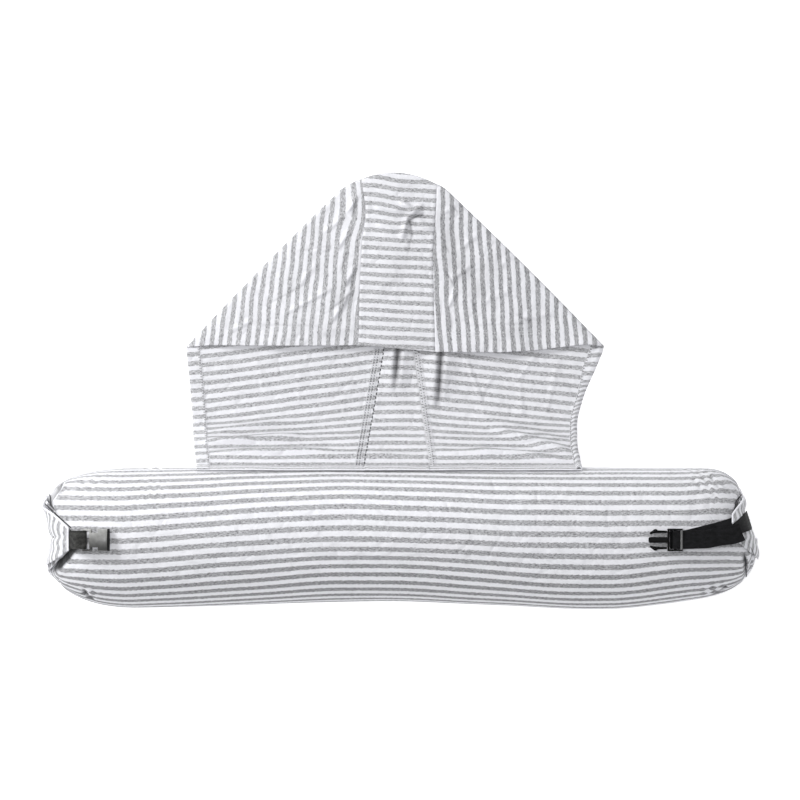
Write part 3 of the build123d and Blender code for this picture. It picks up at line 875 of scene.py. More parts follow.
def panel_grid(name, left, right, low, high, shape, place, cloth, crowd=0.0, gap=None):
    """A panel between two side lines x = left(v), right(v), from v = low(x) to high(x).

    v is the distance over the cloth from the neck on the back, and y on the front. place gives
    the point at (x, v), cloth its place on the cut cloth and gap the painted shade of how deep in a fold it
    lies.
    crowd packs the columns closer towards the left (negative) or the right (positive) line.
    """
    t, s = unit_grid(*shape)
    if crowd < 0:
        s = s ** (1 - crowd)
    if crowd > 0:
        s = 1 - (1 - s) ** (1 + crowd)
    x = left(t * 0 + low(0.0)) * (1 - s) + right(t * 0 + low(0.0)) * s
    for _ in range(8):
        v = low(x) + (high(x) - low(x)) * t
        x = left(v) + (right(v) - left(v)) * s
    return grid_piece(name, place(x, v), cloth(x, v), gap=gap(x, v) if gap else None)


def front_painted_shade(x, y):
    """Painted shade of the front: its sharp creases, and a rim along the folded edge, darker on the right.
    """
    rim = (0.22 + 0.13 * smooth(x / (40 * MM))) * np.clip(1 - fold_distance(x, y) / (1.5 * MM), 0, 1)
    return np.clip(creases(x, y, FRONT_MARKS) / (2.6 * MM) + rim, 0, 0.5)


def hem_painted_shade(x, u):
    """Painted shade of the folds under the front hem."""
    return np.clip(creases(x, y_from_neck(u), HEM_GROOVES) / (10 * MM), 0, 0.72)


def level(value):
    return lambda x: value + 0 * x


def anchored(cloth, x, v):
    """Shifts a cloth place so that a grey stripe's middle passes through (x, v)."""
    base = cloth(np.array(x), np.array(v))[1]

    def shifted(x, v):
        u, across = cloth(x, v)
        return np.stack([u + 0 * across, across - base + STRIPE / 4 + 50 * STRIPE], -1)

    return shifted


def back_cloth(tilt, x, y):
    """Stripes across the back, tilted by so many degrees, with a grey one through (x, y)."""
    slope = math.tan(math.radians(tilt))

    def cloth(x, u):
        fade = smooth((y_from_neck(u) - 0.080) / 0.05)
        return x, u - slope * x * fade + 0.4 * MM * ripple(x, u, 31, 0.07)

    return anchored(cloth, x, u_at(y))


def side_front_cloth(seam, side, lean_out, x, y):
    """Stripes running down beside the gusset seam, leaning outwards towards the hem.

    lean_out is how much they lean at the seam and 0.15 m out, and (x, y) a place on a grey one.
    """

    def cloth(x, y):
        out = side * (x - seam(CORNER_Y))
        slope = lean_out[0] + (lean_out[1] - lean_out[0]) * np.clip(out / 0.15, 0, 1)
        follow = side * (seam(CORNER_Y + 0 * y) - seam(y)) * bump(out, 0, 0.015)
        drag = 0.8 * MM * ripple(x, y, 21, 0.05) + 0.3 * creases(x, y, FRONT_FOLDS)
        return y, out + slope * (y - CORNER_Y) + follow + drag

    return anchored(cloth, x, y)


def centre_front_cloth():
    """Stripes across the gusset, drawn together towards the crown and bent by its creases."""

    def cloth(x, y):
        pinched = 3.5 * MM * smooth((y - 0.312) / 0.045) * smooth((x + 0.03) / 0.03)
        drag = creases(x, y, [((-4, 352), (16, 342), 5, 2.6), ((10, 344), (0, 312), 6, -1.6)])
        return x, y * 1.016 + 0.05 * x + pinched + drag + 0.5 * MM * ripple(x, y, 23, 0.05)

    return anchored(cloth, -6 * MM, 228.6 * MM)


NECK_START = 0.4 * MM
FOLD_BACK = 0.6 * MM                            # how far inside the crown's line the layers end


def back_panels():
    """Three back panels, from the neck seam to the crown's fold."""

    def outer(side):
        return lambda u: outer_edge(y_from_neck(u), side)

    def left(u):
        return BACK_SEAM_LEFT(y_from_neck(u))

    def right(u):
        return BACK_SEAM_RIGHT(y_from_neck(u))

    def crown(x):
        return u_at(crown_line(x) - FOLD_BACK)

    def under(line, other, side):
        pick = np.minimum if side < 0 else np.maximum
        return lambda u: pick(line(u), other(u) + side * 0.1 * MM)

    return {
        "hood_left_back": panel_grid(
            "hood_panel_left_back", under(outer(-1), left, -1), left, level(NECK_START),
            level(crown(-42.5 * MM)), (230, 100), back_point, back_cloth(7.4, -0.1796, 0.1653),
            0.45, hem_painted_shade,
        ),
        "hood_center_back": panel_grid(
            "hood_panel_center_back", left, right, level(NECK_START), crown, (230, 90),
            back_point, back_cloth(0.0, -0.001, 0.169), gap=hem_painted_shade,
        ),
        "hood_right_back": panel_grid(
            "hood_panel_right_back", right, under(outer(1), right, 1), level(NECK_START),
            level(crown(36.5 * MM)), (230, 130), back_point, back_cloth(-6.0, 0.104, 0.1673),
            -0.45, hem_painted_shade,
        ),
    }


def front_panels():
    left, right = FRONT_SEAM_LEFT, FRONT_SEAM_RIGHT

    def left_outer(y):
        return np.minimum(folded_edge(np.maximum(y, CORNER_Y), -1), left(y) - 0.1 * MM)

    def right_outer(y):
        return np.maximum(folded_edge(np.maximum(y, CORNER_Y), 1), right(y) + 0.1 * MM)

    def crown(x):
        return crown_line(x) - FOLD_BACK

    return {
        "hood_left_front": panel_grid(
            "hood_panel_left_front", left_outer, left, front_hem, level(crown(-42.5 * MM)), (190, 150),
            front_point, side_front_cloth(left, -1, (0.080, 0.145), -0.0574, 0.207), 0.5, front_painted_shade,
        ),
        "hood_center_front": panel_grid(
            "hood_panel_center_front", left, right, front_hem, crown, (170, 80),
            front_point, centre_front_cloth(), gap=front_painted_shade,
        ),
        "hood_right_front": panel_grid(
            "hood_panel_right_front", right, right_outer, front_hem, level(crown(37.5 * MM)), (190, 150),
            front_point, side_front_cloth(right, 1, (0.055, 0.062), 0.0512, 0.207), -0.5, front_painted_shade,
        ),
    }


ROLLED_Y = 165 * MM                             # below this the right hem is rolled


def hem_width(y, side):
    """The left face hem is even; the right one is rolled narrow towards the neck."""
    return 13.5 * MM if side < 0 else (6.5 + 7.0 * smooth((y / MM - 150) / 34)) * MM


def side_hem(side):
    """The face hem down a side of the back: the panel's edge turned in and sewn down."""
    u = np.linspace(1.0 * MM, u_at(CORNER_Y + 8 * MM), 240)[:, None]
    d = np.concatenate([np.linspace(0, 0.09, 7), np.linspace(0.13, 0.94, 14), np.linspace(0.96, 1, 4)])
    y = y_from_neck(u)
    width = hem_width(y, side)
    d = d[None, :] * width
    x = outer_edge(y, side) - side * d
    up = 1.25 * MM * np.sqrt(np.clip(1 - (1 - np.clip(d / (1.2 * MM), 0, 1)) ** 2, 0, 1))
    up = up * (0.35 + 0.65 * smooth((width - d) / (1.0 * MM)))
    rolled = smooth((ROLLED_Y - y) / (20 * MM)) * (side > 0)
    up = up + 1.9 * MM * np.sin(np.clip(d / width, 0, 1) * math.pi) * rolled
    if side > 0:
        up = up + 1.6 * MM * bump(d, 4 * MM, 3 * MM) * smooth((y - 0.16) / 0.02)
    tilt = math.tan(math.radians(4))
    dense = (np.minimum(y, ROLLED_Y) - ROLLED_Y) * (side > 0)
    uv = np.stack([d + 0 * u, u + side * tilt * d + 3 * MM + dense + 0.9 * d * rolled], -1)
    name = "hood_hem_left" if side < 0 else "hood_hem_right"
    return grid_piece(name, back_point(x, u, up), uv)


# ------------------------------------------------------------------ sewing threads
# Lengths of the stitches of the hems, of both gusset seams and where the left one is open
HEM_PITCH, LEFT_PITCH, RIGHT_PITCH, OPEN_PITCH = 2.9 * MM, 2.8 * MM, 3.0 * MM, 4.2 * MM
STITCH_LOW, STITCH_HIGH = FLARE + 3 * MM, u_at(CORNER_Y + 4 * MM)


def thread(name, place, ends, thickness=0.42 * MM):
    """Short rounded stitches on a surface, each from one (x, v) to another."""
    starts, stops = np.array([e[0] for e in ends]), np.array([e[1] for e in ends])
    lift = thickness * 1.3
    low = place(starts[:, 0], starts[:, 1], lift)
    high = place(stops[:, 0], stops[:, 1], lift)
    way = high - low
    length = np.linalg.norm(way, axis=1, keepdims=True)
    way = way / length
    side = unit(np.cross(way, [0, 0, 1]))
    up = np.cross(side, way)
    rings = ((0.0, 0.25), (0.12, 0.85), (0.5, 1.0), (0.88, 0.85), (1.0, 0.25))
    around = [(math.cos(k * math.pi / 3), math.sin(k * math.pi / 3)) for k in range(6)]
    rows = []
    for t, r in rings:
        arch = math.sin(math.pi * t) * thickness * 0.8 - 0.5 * thickness
        for c, w in around:
            rows.append(low + way * length * t + up * arch + (side * c + up * w) * thickness * r)
    points = np.stack(rows, 1)
    count = len(rings) * 6
    faces = []
    for k in range(len(ends)):
        base = k * count
        for i in range(len(rings) - 1):
            for j in range(6):
                a, b = base + i * 6 + j, base + i * 6 + (j + 1) % 6
                faces.append((a, b, b + 6, a + 6))
        faces.append(tuple(base + j for j in range(5, -1, -1)))
        faces.append(tuple(base + count - 6 + j for j in range(6)))
    return new_object(name, points.reshape(-1, 3), faces)


def running(places, share=0.72):
    """Stitches with small gaps between them, along a row of places."""
    return [
        (a, (a[0] + (b[0] - a[0]) * share, a[1] + (b[1] - a[1]) * share))
        for a, b in zip(places, places[1:])
    ]


def looped(places, width):
    """Looper threads crossing to and fro between two rows of needle stitches."""
    ends = []
    for a, b in zip(places, places[1:]):
        middle = ((a[0] + b[0]) / 2 + width, (a[1] + b[1]) / 2)
        ends += [(a, middle), (middle, b)]
    return ends


def back_row(line, shift, pitch, start=0.0):
    """(x, u) places a stitch apart along x = line(y) + shift on the hood's back."""
    u = np.arange(STITCH_LOW + start, STITCH_HIGH, pitch)
    return list(zip(line(y_from_neck(u)) + shift, u))


def hem_row(side, past, start=0.0):
    """Places along a face hem, `past` beyond its inner edge."""

    def line(y):
        return outer_edge(y, side) - side * (hem_width(y, side) + past)

    return back_row(line, 0.0, HEM_PITCH, start)


def back_thread(name, rise, ends, thickness=0.42 * MM):
    return thread(name, lambda x, u, up: back_point(x, u, up + rise), ends, thickness)


def back_threads():
    """Light stitching: both face hems and the two gusset seams."""
    ends = []
    for side in (-1, 1):
        ends += running(hem_row(side, -2.2 * MM)) + running(hem_row(side, 0.9 * MM))
        ends += looped(hem_row(side, -2.0 * MM), -side * 2.7 * MM)
    for shift in (-3.6 * MM, -6.6 * MM, -9.6 * MM):
        ends += running(back_row(BACK_SEAM_LEFT, shift, LEFT_PITCH), 0.85)
    row = back_row(BACK_SEAM_RIGHT, -0.6 * MM, RIGHT_PITCH)
    ends += running(row) + running(back_row(BACK_SEAM_RIGHT, 6.6 * MM, RIGHT_PITCH))
    return back_thread("hood_stitches_back", 0.7 * MM, ends + looped(row, 6.8 * MM))


def stitch_shade_threads():
    """Grey looper stitches beside the light rows, their darkness painted shade between the threads."""
    ends = []
    for side in (-1, 1):
        for past in (-1.2 * MM, 0.0):
            ends += running(hem_row(side, past, 0.7 * MM), 0.5)
    for shift in (-5.1 * MM, -8.1 * MM):
        ends += running(back_row(BACK_SEAM_LEFT, shift, LEFT_PITCH), 0.4)
    for shift in (1.6 * MM, 4.4 * MM):
        ends += running(back_row(BACK_SEAM_RIGHT, shift, RIGHT_PITCH, shift / 3), 0.4)
    return back_thread("hood_looper_stitches", 0.85 * MM, ends)


def seam_shade_threads():
    """The open left gusset seam, where the joining stitches show as dark dashes of painted shade."""
    row = back_row(BACK_SEAM_LEFT, 0.0, OPEN_PITCH)
    return back_thread("hood_seam_stitches", 0.5 * MM, running(row, 0.62), 0.55 * MM)


def front_threads(name, low, high):
    """The front hem's stitching on one panel, from x = low to high."""
    xs = np.arange(low, high, HEM_PITCH)
    ends = []
    for rise in (17.5 * MM, 20.6 * MM):
        ends += running([(x, front_hem(x) + rise) for x in xs])
    return thread(name, lambda x, y, up: front_point(x, y, up + 0.5 * MM), ends, 0.2 * MM)


# ------------------------------------------------------------------ straps and buckles
BAR = JOINTS["socket_pivot"]["pos_m"]           # the socket's bar, which the left webbing turns round
SOCKET_TILT = math.radians(6)
WEB_HALF = 9.6 * MM
WEB_THICK = 1.2 * MM
LOOP_RADIUS = 2.45 * MM                         # middle of the webbing as it turns round a bar
TIP_FROM, TIP_TO = 303 * MM, 366 * MM           # where the plug's webbing tips with the roll
TAB_FLOOR = 70 * MM                             # height at which a tab is sewn into the end
EDGE_ROUNDING = 0.35 * MM                       # of the buckle's moulded edges
MOUTH = 23.8 * MM                               # from the socket's bar to where the painted shade of its mouth begins
PAINTED_HIGHLIGHT_BAND = 2.6 * MM                          # how much of the plug's webbing end carries the painted highlight


def ribbon(name, centre, across, half, thickness):
    """Flat webbing with rounded edges along a line of centre points."""
    centre, across = np.asarray(centre, float), np.asarray(across, float)
    tangent = unit(np.gradient(centre, axis=0))
    across = unit(across - np.sum(across * tangent, 1, keepdims=True) * tangent)
    up = np.cross(tangent, across)
    flat = np.linspace(-1, 1, 13) * (half - thickness / 2)
    turn = np.linspace(0, math.pi, 7)[1:-1]
    ring = [(s, thickness / 2) for s in flat]
    ring += [(flat[-1] + math.sin(t) * thickness / 2, math.cos(t) * thickness / 2) for t in turn]
    ring += [(s, -thickness / 2) for s in flat[::-1]]
    ring += [(flat[0] - math.sin(t) * thickness / 2, -math.cos(t) * thickness / 2) for t in turn]
    s, h = np.array(ring).T
    rib = 0.06 * MM * np.cos(s / (1.6 * MM) * 2 * math.pi) * np.sign(h)
    points = centre[:, None] + across[:, None] * s[None, :, None] + up[:, None] * (h + rib)[None, :, None]
    uv = np.stack(np.meshgrid(distance_along(centre), np.append(s, s[0]), indexing="ij"), -1)
    return grid_piece(name, points, uv, wrap=True, closed=True)


def laid(centre, across):
    """Tips each across vector to the slope of the roll under it."""
    side = across[:, :2] * WEB_HALF
    high = roof(centre[:, 0] + side[:, 0], centre[:, 1] + side[:, 1], 3 * MM)
    low = roof(centre[:, 0] - side[:, 0], centre[:, 1] - side[:, 1], 3 * MM)
    share = smooth((centre[:, 0] - TIP_FROM) / (20 * MM)) * smooth((TIP_TO - centre[:, 0]) / (6 * MM))
    tip = (high - low) / (2 * WEB_HALF) * share
    return np.column_stack([across[:, :2], across[:, 2] + np.clip(tip, -0.8, 0.8)])


def left_webbing():
    """The socket's webbing: out of the tab, once round the socket's bar and back, doubled."""
    bar_x, bar_z, r = BAR[0], BAR[2], LOOP_RADIUS
    gap = 0.66 * MM                              # half the distance between the two layers
    nx, nz = -gap * math.sqrt(0.5), gap * math.sqrt(0.5)
    foot = [(x * MM, float(roof(x * MM, STRAP_Y, 1.6 * MM))) for x in (-364, -359, -353, -347)]
    foot.append((-340.5 * MM, bar_z - 3.2 * MM))
    lower = [(x - nx, z - nz) for x, z in foot]
    upper = [(x + nx, z + nz) for x, z in foot[::-1]]
    turn = np.radians((-80, -40, 0, 40, 80, 115))
    loop = [(bar_x + r * math.cos(t), bar_z + r * math.sin(t)) for t in turn]
    path = smooth_path(lower + loop + upper, 90)
    centre = np.stack([path[:, 0], STRAP_Y + 0 * path[:, 0], path[:, 1]], -1)
    return ribbon("webbing_left", centre, [(0, 1, 0)] * len(centre), WEB_HALF, WEB_THICK)


def right_webbing():
    """The plug's webbing: out of the end seam over the tab, easing round towards the plug."""
    route = [
        (282, -2), (297, -1.6), (310, 1.2), (322, 4.2), (337.7, 8.3), (349, 12.1), (357, 14.6),
        (362, 16.4),
    ]
    plan = smooth_path(route, 70) * MM
    z = roof(plan[:, 0], plan[:, 1], 2.9 * MM) - 2.1 * MM * smooth((297 * MM - plan[:, 0]) / (6 * MM))
    z = z + 0.5 * MM * np.sin(plan[:, 0] / (19 * MM)) - 1.0 * MM * bump(plan[:, 0], 0.297, 0.012)
    over = np.stack([plan[:, 0], plan[:, 1], z], -1)
    drop_z = np.linspace(z[-1] - 4 * MM, TAB_FLOOR + 4 * MM, 24)
    drop_y = plan[-1, 1] + 2.5 * MM * smooth((z[-1] - drop_z) / 0.03)
    reach = end_reach(drop_y, drop_z, 2.9 * MM)
    drop = np.stack([reach + lean(reach, drop_y), drop_y, drop_z], -1)
    centre = smooth_path(np.vstack([over[::3], drop[2::3]]), 130)
    tangent = np.gradient(centre[:, :2], axis=0)
    flat = np.stack([-tangent[:, 1], tangent[:, 0], 0 * tangent[:, 0]], -1)
    last = np.array([-0.3, 0.95, 0.0])
    mix = smooth((z[-1] + 6 * MM - centre[:, 2]) / (14 * MM))[:, None] * (centre[:, :1] > 0.35)
    across = unit(flat) * (1 - mix) + last * mix
    return ribbon("webbing_right", centre, laid(centre, across), WEB_HALF, WEB_THICK)


def webbing_tail():
    """Free end of the plug's webbing: round the adjusting bar and back over the fixed run."""
    tail_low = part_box("webbing_tail")[0]
    outer = LOOP_RADIUS + WEB_THICK / 2
    bar_x, bar_z, r = tail_low.x + outer, tail_low.z + outer, LOOP_RADIUS
    loop = [(bar_x + r * math.cos(t), STRAP_Y, bar_z + r * math.sin(t))
            for t in np.radians((-60, -100, -140, 180, 140, 105, 80))]
    top = bar_z + r
    run = [(bar_x + 8 * MM, STRAP_Y, top - 1.2 * MM), (300 * MM, STRAP_Y + 0.1 * MM, top - 1.0 * MM)]
    for x, y in ((312, -1.7), (322, -1.1), (334, 1.4), (345, 2.6), (352, 4.4), (357, 6.4)):
        run.append((x * MM, y * MM, top - 1.1 * MM - 0.4 * MM * math.sin(x / 9)))
    centre = smooth_path(loop + run, 110)
    tangent = np.gradient(centre[:, :2], axis=0)
    turned = smooth((centre[:, 0] - TIP_FROM) / (20 * MM))[:, None]
    across = unit(np.stack([-tangent[:, 1], np.abs(tangent[:, 0]), 0 * tangent[:, 0]], -1))
    across = across * turned + np.array([0, 1, 0]) * (1 - turned)
    return ribbon("webbing_free_end", centre, across, WEB_HALF, WEB_THICK)


def tab(side, tip_x, tip, root, grow, lifted, bordered):
    """A strap tab: cloth sewn into the end seam and drawn over the end to the webbing.

    tip and root are the y of its two corners at each end. Its stripes follow the end seam, and
    its turned edge is white at the tip and, if bordered, along the side towards the hood.
    """
    a, b = unit_grid(90, 81, low=-1)
    b = np.sign(b) * (1 - (1 - np.abs(b)) ** 1.5)
    middle, half = (root[0] + root[1]) / 2, (root[1] - root[0]) / 2
    tip_middle, tip_half = (tip[0] + tip[1]) / 2, (tip[1] - tip[0]) / 2
    near = a**1.8
    y = (middle + b * half) * (1 - near) + (tip_middle + b * tip_half) * near
    far = side * end_reach(y, TAB_FLOOR, grow)
    far = far + lean(far, y)
    x = far + (tip_x - far) * near
    rim = (1 - np.abs(b)) * (half * (1 - near) + tip_half * near)
    tip_rim = (1 - a) * 55 * MM
    turned = np.sqrt(1 - (1 - np.clip(np.minimum(rim, tip_rim) / (1.4 * MM), 0, 1)) ** 2)
    z = roof(x, y, grow) + 1.3 * MM * turned - 0.9 * MM + lifted(a, b, x, y)
    points = np.stack([x, y, z], -1)
    steps = np.linalg.norm(np.diff(points, axis=0), axis=2)
    from_tip = np.cumsum(np.vstack([steps, 0 * steps[:1]])[::-1], 0)[::-1]
    across = np.minimum(from_tip * 1.04, 90 * MM) + 1.0 * MM * ripple(x, y, 12, 0.03)
    across = across - side * 2.6 * MM * bump(y, 0.5 * MM, 3.4 * MM) * smooth((1 - near) / 0.4)
    across = across - min(side, 0) * 1.1 * MM * np.sin(y / (2.6 * MM)) * smooth((0.9 - near) / 0.5)
    border = (b > 0) & (rim < 2.4 * MM) & (y > -1) if bordered else rim < -1
    border = border | (tip_rim < 2.6 * MM)
    across = np.where(border, 4.75 * STRIPE, across + 0.55 * STRIPE)
    return points, np.stack([y, across], -1)


def tabs():
    def left_lift(a, b, x, y):
        low = smooth((-b - 0.35) / 0.65)
        wave = 0.6 * MM * ripple(a * 0.06, y, 5, 0.03) * smooth(a / 0.2)
        pleat = -1.6 * MM * bump(y, 1 * MM, 2.0 * MM) * smooth((0.75 - a) / 0.4)
        return 4.5 * MM * low * smooth(a / 0.3) * smooth((1.03 - a) / 0.45) + wave + pleat

    left = grid_piece("strap_tab_left", *tab(
        -1, -348.3 * MM, (-13 * MM, 10 * MM), (-29 * MM, 33 * MM), 2.6 * MM, left_lift, True
    ))

    def right_lift(a, b, x, y):
        edge = 14.7 * MM + 0.807 * (x - 348 * MM)    # its flap's edge over the webbing
        over = 6.4 * MM * smooth((y - edge) / (1.2 * MM)) * smooth((369 * MM - x) / (5 * MM))
        pleats = 1.5 * MM * ripple(a * 0.05, y, 9, 0.022) * smooth(a / 0.15) * smooth((-0.2 - b) / 0.2)
        return over + pleats * smooth((1.05 - a) / 0.3)

    right = grid_piece("strap_tab_right", *tab(
        1, 347.0 * MM, (2 * MM, 24.7 * MM), (-23 * MM, 44 * MM), 1.2 * MM, right_lift, True
    ))
    return left, right


def seam_line(name, corners, thickness=0.6 * MM):
    """A dark line of thread on the roll's cloth through corners given in millimetres: painted shade along a
    seam.
    """
    path = smooth_path([(x * MM, y * MM) for x, y in corners], 40)
    ends = [(tuple(a), tuple(b)) for a, b in zip(path, path[1:])]

    def place(x, y, up):
        return np.stack([x, y, roof(x, y, up + 0.2 * MM)], -1)

    return paint(thread(name, place, ends, thickness), SEAM_SHADE_THREAD)


def refined(node, name, cuts=(), shape=None):
    """The CAD piece with rounded edges, and where asked a gently reshaped surface."""
    source = frame["nodes"][node]
    bm = bmesh.new()
    bm.from_mesh(source.data)
    bm.transform(source.matrix_world)
    bmesh.ops.remove_doubles(bm, verts=bm.verts, dist=0.01 * MM)
    bmesh.ops.dissolve_limit(bm, angle_limit=math.radians(2), verts=bm.verts, edges=bm.edges)
    for point, normal in cuts:
        geometry = bm.verts[:] + bm.edges[:] + bm.faces[:]
        bmesh.ops.bisect_plane(bm, geom=geometry, plane_co=point, plane_no=normal)
    mesh = bpy.data.meshes.new(name)
    bm.to_mesh(mesh)
    bm.free()
    piece = bpy.data.objects.new(name, mesh)
    bpy.context.scene.collection.objects.link(piece)
    bevel = piece.modifiers.new("edges", "BEVEL")
    bevel.width, bevel.segments, bevel.limit_method = EDGE_ROUNDING, 3, "ANGLE"
    bevel.angle_limit = math.radians(28)
    apply_modifiers(piece)
    if shape:
        for vertex in piece.data.vertices:
            vertex.co = shape(vertex.co.copy())
    piece.data.shade_smooth()
    piece.data.set_sharp_from_angle(angle=math.radians(38))
    return piece


def socket_shape(co):
    """Crowns the socket's broad faces across the strap and eases its mouth."""
    pivot = Vector(BAR)
    local = co - pivot
    c, n = math.cos(SOCKET_TILT), math.sin(SOCKET_TILT)
    along, up = local.x * c + local.z * n, -local.x * n + local.z * c
    # the window in each side, drawn in to a deeper thumb notch
    notch = smooth((along - 5.5 * MM) / (1.5 * MM)) * smooth((17.8 * MM - along) / (1.5 * MM))
    if abs(local.y) > 8.6 * MM and 8 * MM < along < 16 * MM:
        local.x += (1.6 if along > 12 * MM else -0.4) * MM
    if 8.6 * MM < abs(local.y) < 9.2 * MM:
        local.y = math.copysign(abs(local.y) - 1.1 * MM * float(notch), local.y)
    y = local.y / (11.6 * MM)
    if along > 5 * MM:
        crown = 3.4 * MM * max(0.0, 1 - y * y)
        up += crown if up > 0 else -0.4 * crown
        mouth = min(max((along - 23 * MM) / (3.6 * MM), 0), 1)
        if up > 3 * MM:
            up -= 1.1 * MM * mouth * mouth
    return pivot + Vector((along * c - up * n, local.y, along * n + up * c))


def sewn_on(piece):
    """Bakes the piece's placement into its mesh."""
    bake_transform(piece)


def paint_beyond(piece, material, x):
    """Gives a second material to the faces whose middle is past x."""
    piece.data.materials.append(material)
    for face in piece.data.polygons:
        face.material_index = int(face.center.x > x)


def build_straps():
    left, right = tabs()
    for piece, node, body in ((left, "left_tab", "left_strap"), (right, "right_tab", "right_strap")):
        paint(piece, JERSEY)
        thicken(piece, CLOTH)
        stand_for(piece, node)
        sewn_on(piece)
    # the dark lines beside the tabs and at the ends are painted shade along the seams
    for name, corners, body in (
        ("tab_seam_left", [(-373.4, 35.6), (-360.2, 23.3), (-346.2, 10.8)], "left_strap"),
        ("tab_seam_right", [(357, 45), (351.5, 38), (350, 31), (347, 21)], "right_strap"),
    ):
        sewn_on(seam_line(name, corners))
    for name, corners in (
        ("end_seam_right_upper", [(357, -3), (366, -10), (370, -18)]),
        ("end_seam_right_lower", [(361, -20), (361.5, -30), (362.5, -41)]),
        ("end_seam_left", [(-368.5, 45), (-367.5, 40), (-367, 34)]),
    ):
        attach(seam_line(name, corners), "pillow")
    stand_for(paint(left_webbing(), CHARCOAL_WEB), "left_webbing", "left_strap")
    run = paint(right_webbing(), BLACK_WEB)
    stand_for(run, "right_webbing")
    sewn_on(run)
    stand_for(paint(webbing_tail(), BLACK_WEB), "webbing_tail", "plug")


def build_buckle():
    pivot = Vector(BAR)
    cuts = [((0, STRAP_Y + k * 1.9 * MM, 0), (0, 1, 0)) for k in range(-5, 6)]
    cuts += [((pivot.x + k * MM, 0, pivot.z), (1, 0, 0)) for k in (20, 22.5, 24.5)]
    socket = paint(refined("female_buckle", "buckle_socket", cuts, socket_shape), GREY_PLASTIC)
    stand_for(socket, "female_buckle", "socket")
    # the mouth's faces get near-black plastic: painted shade of the opening
    paint_beyond(socket, MOUTH_SHADE_PLASTIC, pivot.x + MOUTH)
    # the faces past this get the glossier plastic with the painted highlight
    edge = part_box("male_buckle")[1].x - PAINTED_HIGHLIGHT_BAND
    for node, name, body in (
        ("male_buckle", "buckle_plug", "plug"), ("latch_arm_back", "buckle_arm_back", "latch_back"),
        ("latch_arm_front", "buckle_arm_front", "latch_front"),
    ):
        piece = paint(refined(node, name), BLACK_PLASTIC)
        stand_for(piece, node, body)
        paint_beyond(piece, PAINTED_HIGHLIGHT_PLASTIC, edge)


# ------------------------------------------------------------------ build
FLOOR_GLOW = 0.58                               # keeps the pale floor white under soft light
FLOOR_HALF = 30.0


def floor_and_lights():
    corners = [(x * FLOOR_HALF, y * FLOOR_HALF, 0) for x, y in ((-1, -1), (1, -1), (1, 1), (-1, 1))]
    floor = new_object("floor", corners, [(0, 1, 2, 3)])
    floor.location.z = -0.4 * MM
    make = Recipe("floor")
    paint(floor, make.finish({
        "Base Color": make.ramp(make.noise(make.place(), 3, 2), [(0.3, 0.93), (0.7, 0.95)]),
        "Roughness": 0.9, "Emission Color": (1, 1, 1), "Emission Strength": FLOOR_GLOW,
    }))
    world = bpy.data.worlds.new("studio")
    bpy.context.scene.world = world
    world.use_nodes = True
    world.node_tree.nodes["Background"].inputs[0].default_value = (0.97, 0.98, 1.0, 1)
    world.node_tree.nodes["Background"].inputs[1].default_value = 0.46
    for name, place, target, power, width, depth in (
        ("key", (-1.5, 1.1, 1.35), (0, 0.1, 0), 27, 0.5, 0.5),
        ("overhead", (-0.5, 0.2, 3.2), (0, 0.1, 0), 37, 1.3, 0.7),
    ):
        light = bpy.data.lights.new(name, "AREA")
        light.shape = "RECTANGLE"
        light.energy, light.size, light.size_y = power, width, depth
        lamp = bpy.data.objects.new(name, light)
        lamp.location = place
        lamp.rotation_euler = (Vector(target) - Vector(place)).to_track_quat("-Z", "Y").to_euler()
        bpy.context.scene.collection.objects.link(lamp)
    bpy.context.scene.view_settings.view_transform = "Standard"


VIEW_CENTRE = (-1.05 * MM, 144.4 * MM)
VIEW_WIDTH = 840 * MM                           # seen at the height of the roll's axis
VIEW_DISTANCE = 30.0


def camera():
    """Looks straight down from far away, so that the view is nearly free of perspective."""
    data = bpy.data.cameras.new("camera")
    data.sensor_width = 36
    data.lens = data.sensor_width * (VIEW_DISTANCE - AXIS_Z) / VIEW_WIDTH
    data.clip_end = 100
    eye = bpy.data.objects.new("camera", data)
    eye.location = (*VIEW_CENTRE, VIEW_DISTANCE)
    bpy.context.scene.collection.objects.link(eye)
    bpy.context.scene.camera = eye


def cap_ends(points, rows, columns):
    """Closes a wrapped grid's two open ends with fans to a middle point."""
    faces, _ = grid_faces(rows, columns, wrap=True)
    points = [tuple(p) for p in points.reshape(-1, 3)]
    for start, flip in ((0, True), ((rows - 1) * columns, False)):
        ring = [start + c for c in range(columns)]
        points.append(tuple(np.mean([points[i] for i in ring], 0)))
        tip = len(points) - 1
        for c in range(columns):
            a, b = ring[c], ring[(c + 1) % columns]
            faces.append((b, a, tip) if flip else (a, b, tip))
    return points, faces


def build_roll():
    piece = paint(cover(), JERSEY)
    stand_for(piece, "cover_body", "pillow")
    for side, node in ((-1, "cover_left_end"), (1, "cover_right_end")):
        stand_for(paint(end_panel(side), JERSEY), node, "pillow")
    for name, inset, node, slot in (
        ("liner_bag", 6.5 * MM, "inner_bag", "liner_cloth"),
        ("stuffing", 7.5 * MM, "filling", "fibre_fill"),
    ):
        rows, columns = 120, 72
        points = roll_grid(inset, rows, columns, END_X - 0.016)[0]
        inner = new_object(name, *cap_ends(points, rows, columns))
        stand_for(paint(inner, LINER), node, "pillow")


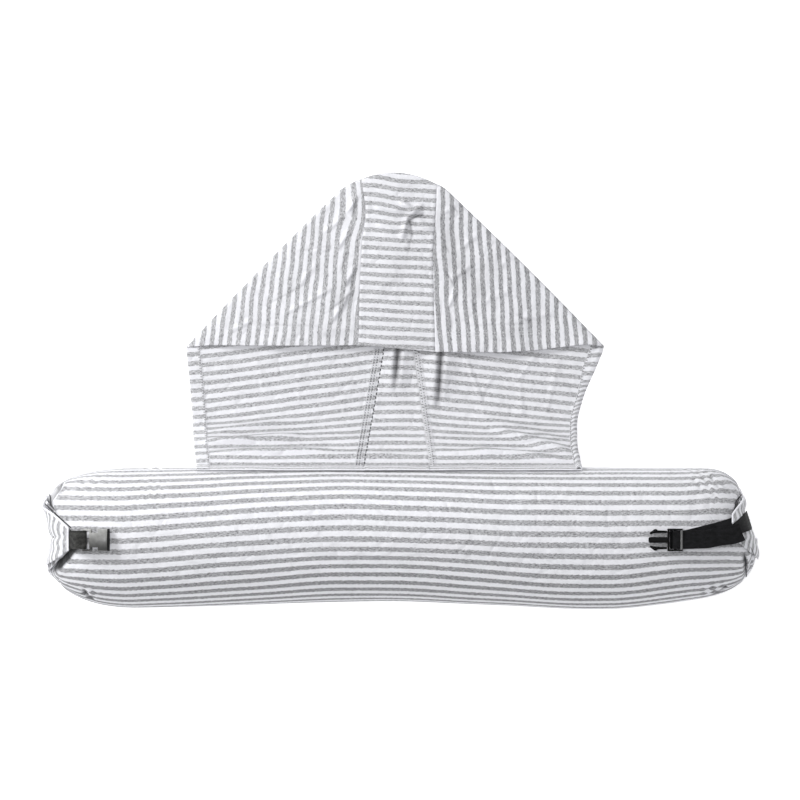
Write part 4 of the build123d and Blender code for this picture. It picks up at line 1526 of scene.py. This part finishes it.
# How the front layer would turn open from its fold
BRIM_LENGTH = 90 * MM                           # length of cloth that turns, back from the crown
BRIM_Y = 330 * MM                               # where a side's bend is measured along its seam
OUT, DOWN = 0.716, 0.698                        # direction square to the folded diagonals


def blend_back(piece):
    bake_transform(piece)


def blend_front(piece, side):
    """Works out the line along which the front would turn open from the fold, straight back from the crown
    on the gusset (side 0), and bakes the piece's placement into its mesh.
    """
    start, way, length = Vector((0, CROWN.y - 2 * MM, 0)), Vector((0, -1, 0)), BRIM_LENGTH
    if side:
        seam = FRONT_SEAM_LEFT if side < 0 else FRONT_SEAM_RIGHT
        share = (start.y - BRIM_Y) / length
        way, length = Vector((-side * OUT, -DOWN, 0)).normalized(), BRIM_LENGTH * DOWN
        start = Vector((float(seam(BRIM_Y)), BRIM_Y, 0)) - way * length * share
    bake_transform(piece)


def finish_panel(piece, node):
    # the right front panel gets the darker jersey: painted shade
    paint(piece, PAINTED_SHADE_HOOD_JERSEY if node == "hood_right_front" else HOOD_JERSEY)
    thicken(piece, CLOTH)
    stand_for(piece, node)


def build_hood():
    for node, piece in back_panels().items():
        finish_panel(piece, node)
        blend_back(piece)
    for node, piece in front_panels().items():
        finish_panel(piece, node)
        blend_front(piece, {"left": -1, "center": 0, "right": 1}[node.split("_")[1]])
    for side in (-1, 1):
        hem = paint(side_hem(side), HOOD_JERSEY)
        thicken(hem, 0.8 * MM)
        blend_back(hem)
    rows = ((back_threads(), THREAD), (stitch_shade_threads(), STITCH_SHADE_THREAD), (seam_shade_threads(), SEAM_SHADE_THREAD))
    for piece, material in rows:
        paint(piece, material)
        blend_back(piece)
    for name, side, low, high in (
        ("hem_stitches_left", -1, -200, -47), ("hem_stitches_center", 0, -43, 36),
        ("hem_stitches_right", 1, 40, 192),
    ):
        blend_front(paint(front_threads(name, low * MM, high * MM), THREAD), side)


def dress_cad():
    for node, material in (
        ("zipper_slider", METAL), ("zipper_pull", METAL), ("zipper_stops", METAL),
        ("zipper_teeth", COIL), ("zipper_tape_upper", TAPE), ("zipper_tape_lower", TAPE),
    ):
        paint(frame["nodes"][node], material)


camera()
floor_and_lights()
build_roll()
build_hood()
build_straps()
build_buckle()
dress_cad()
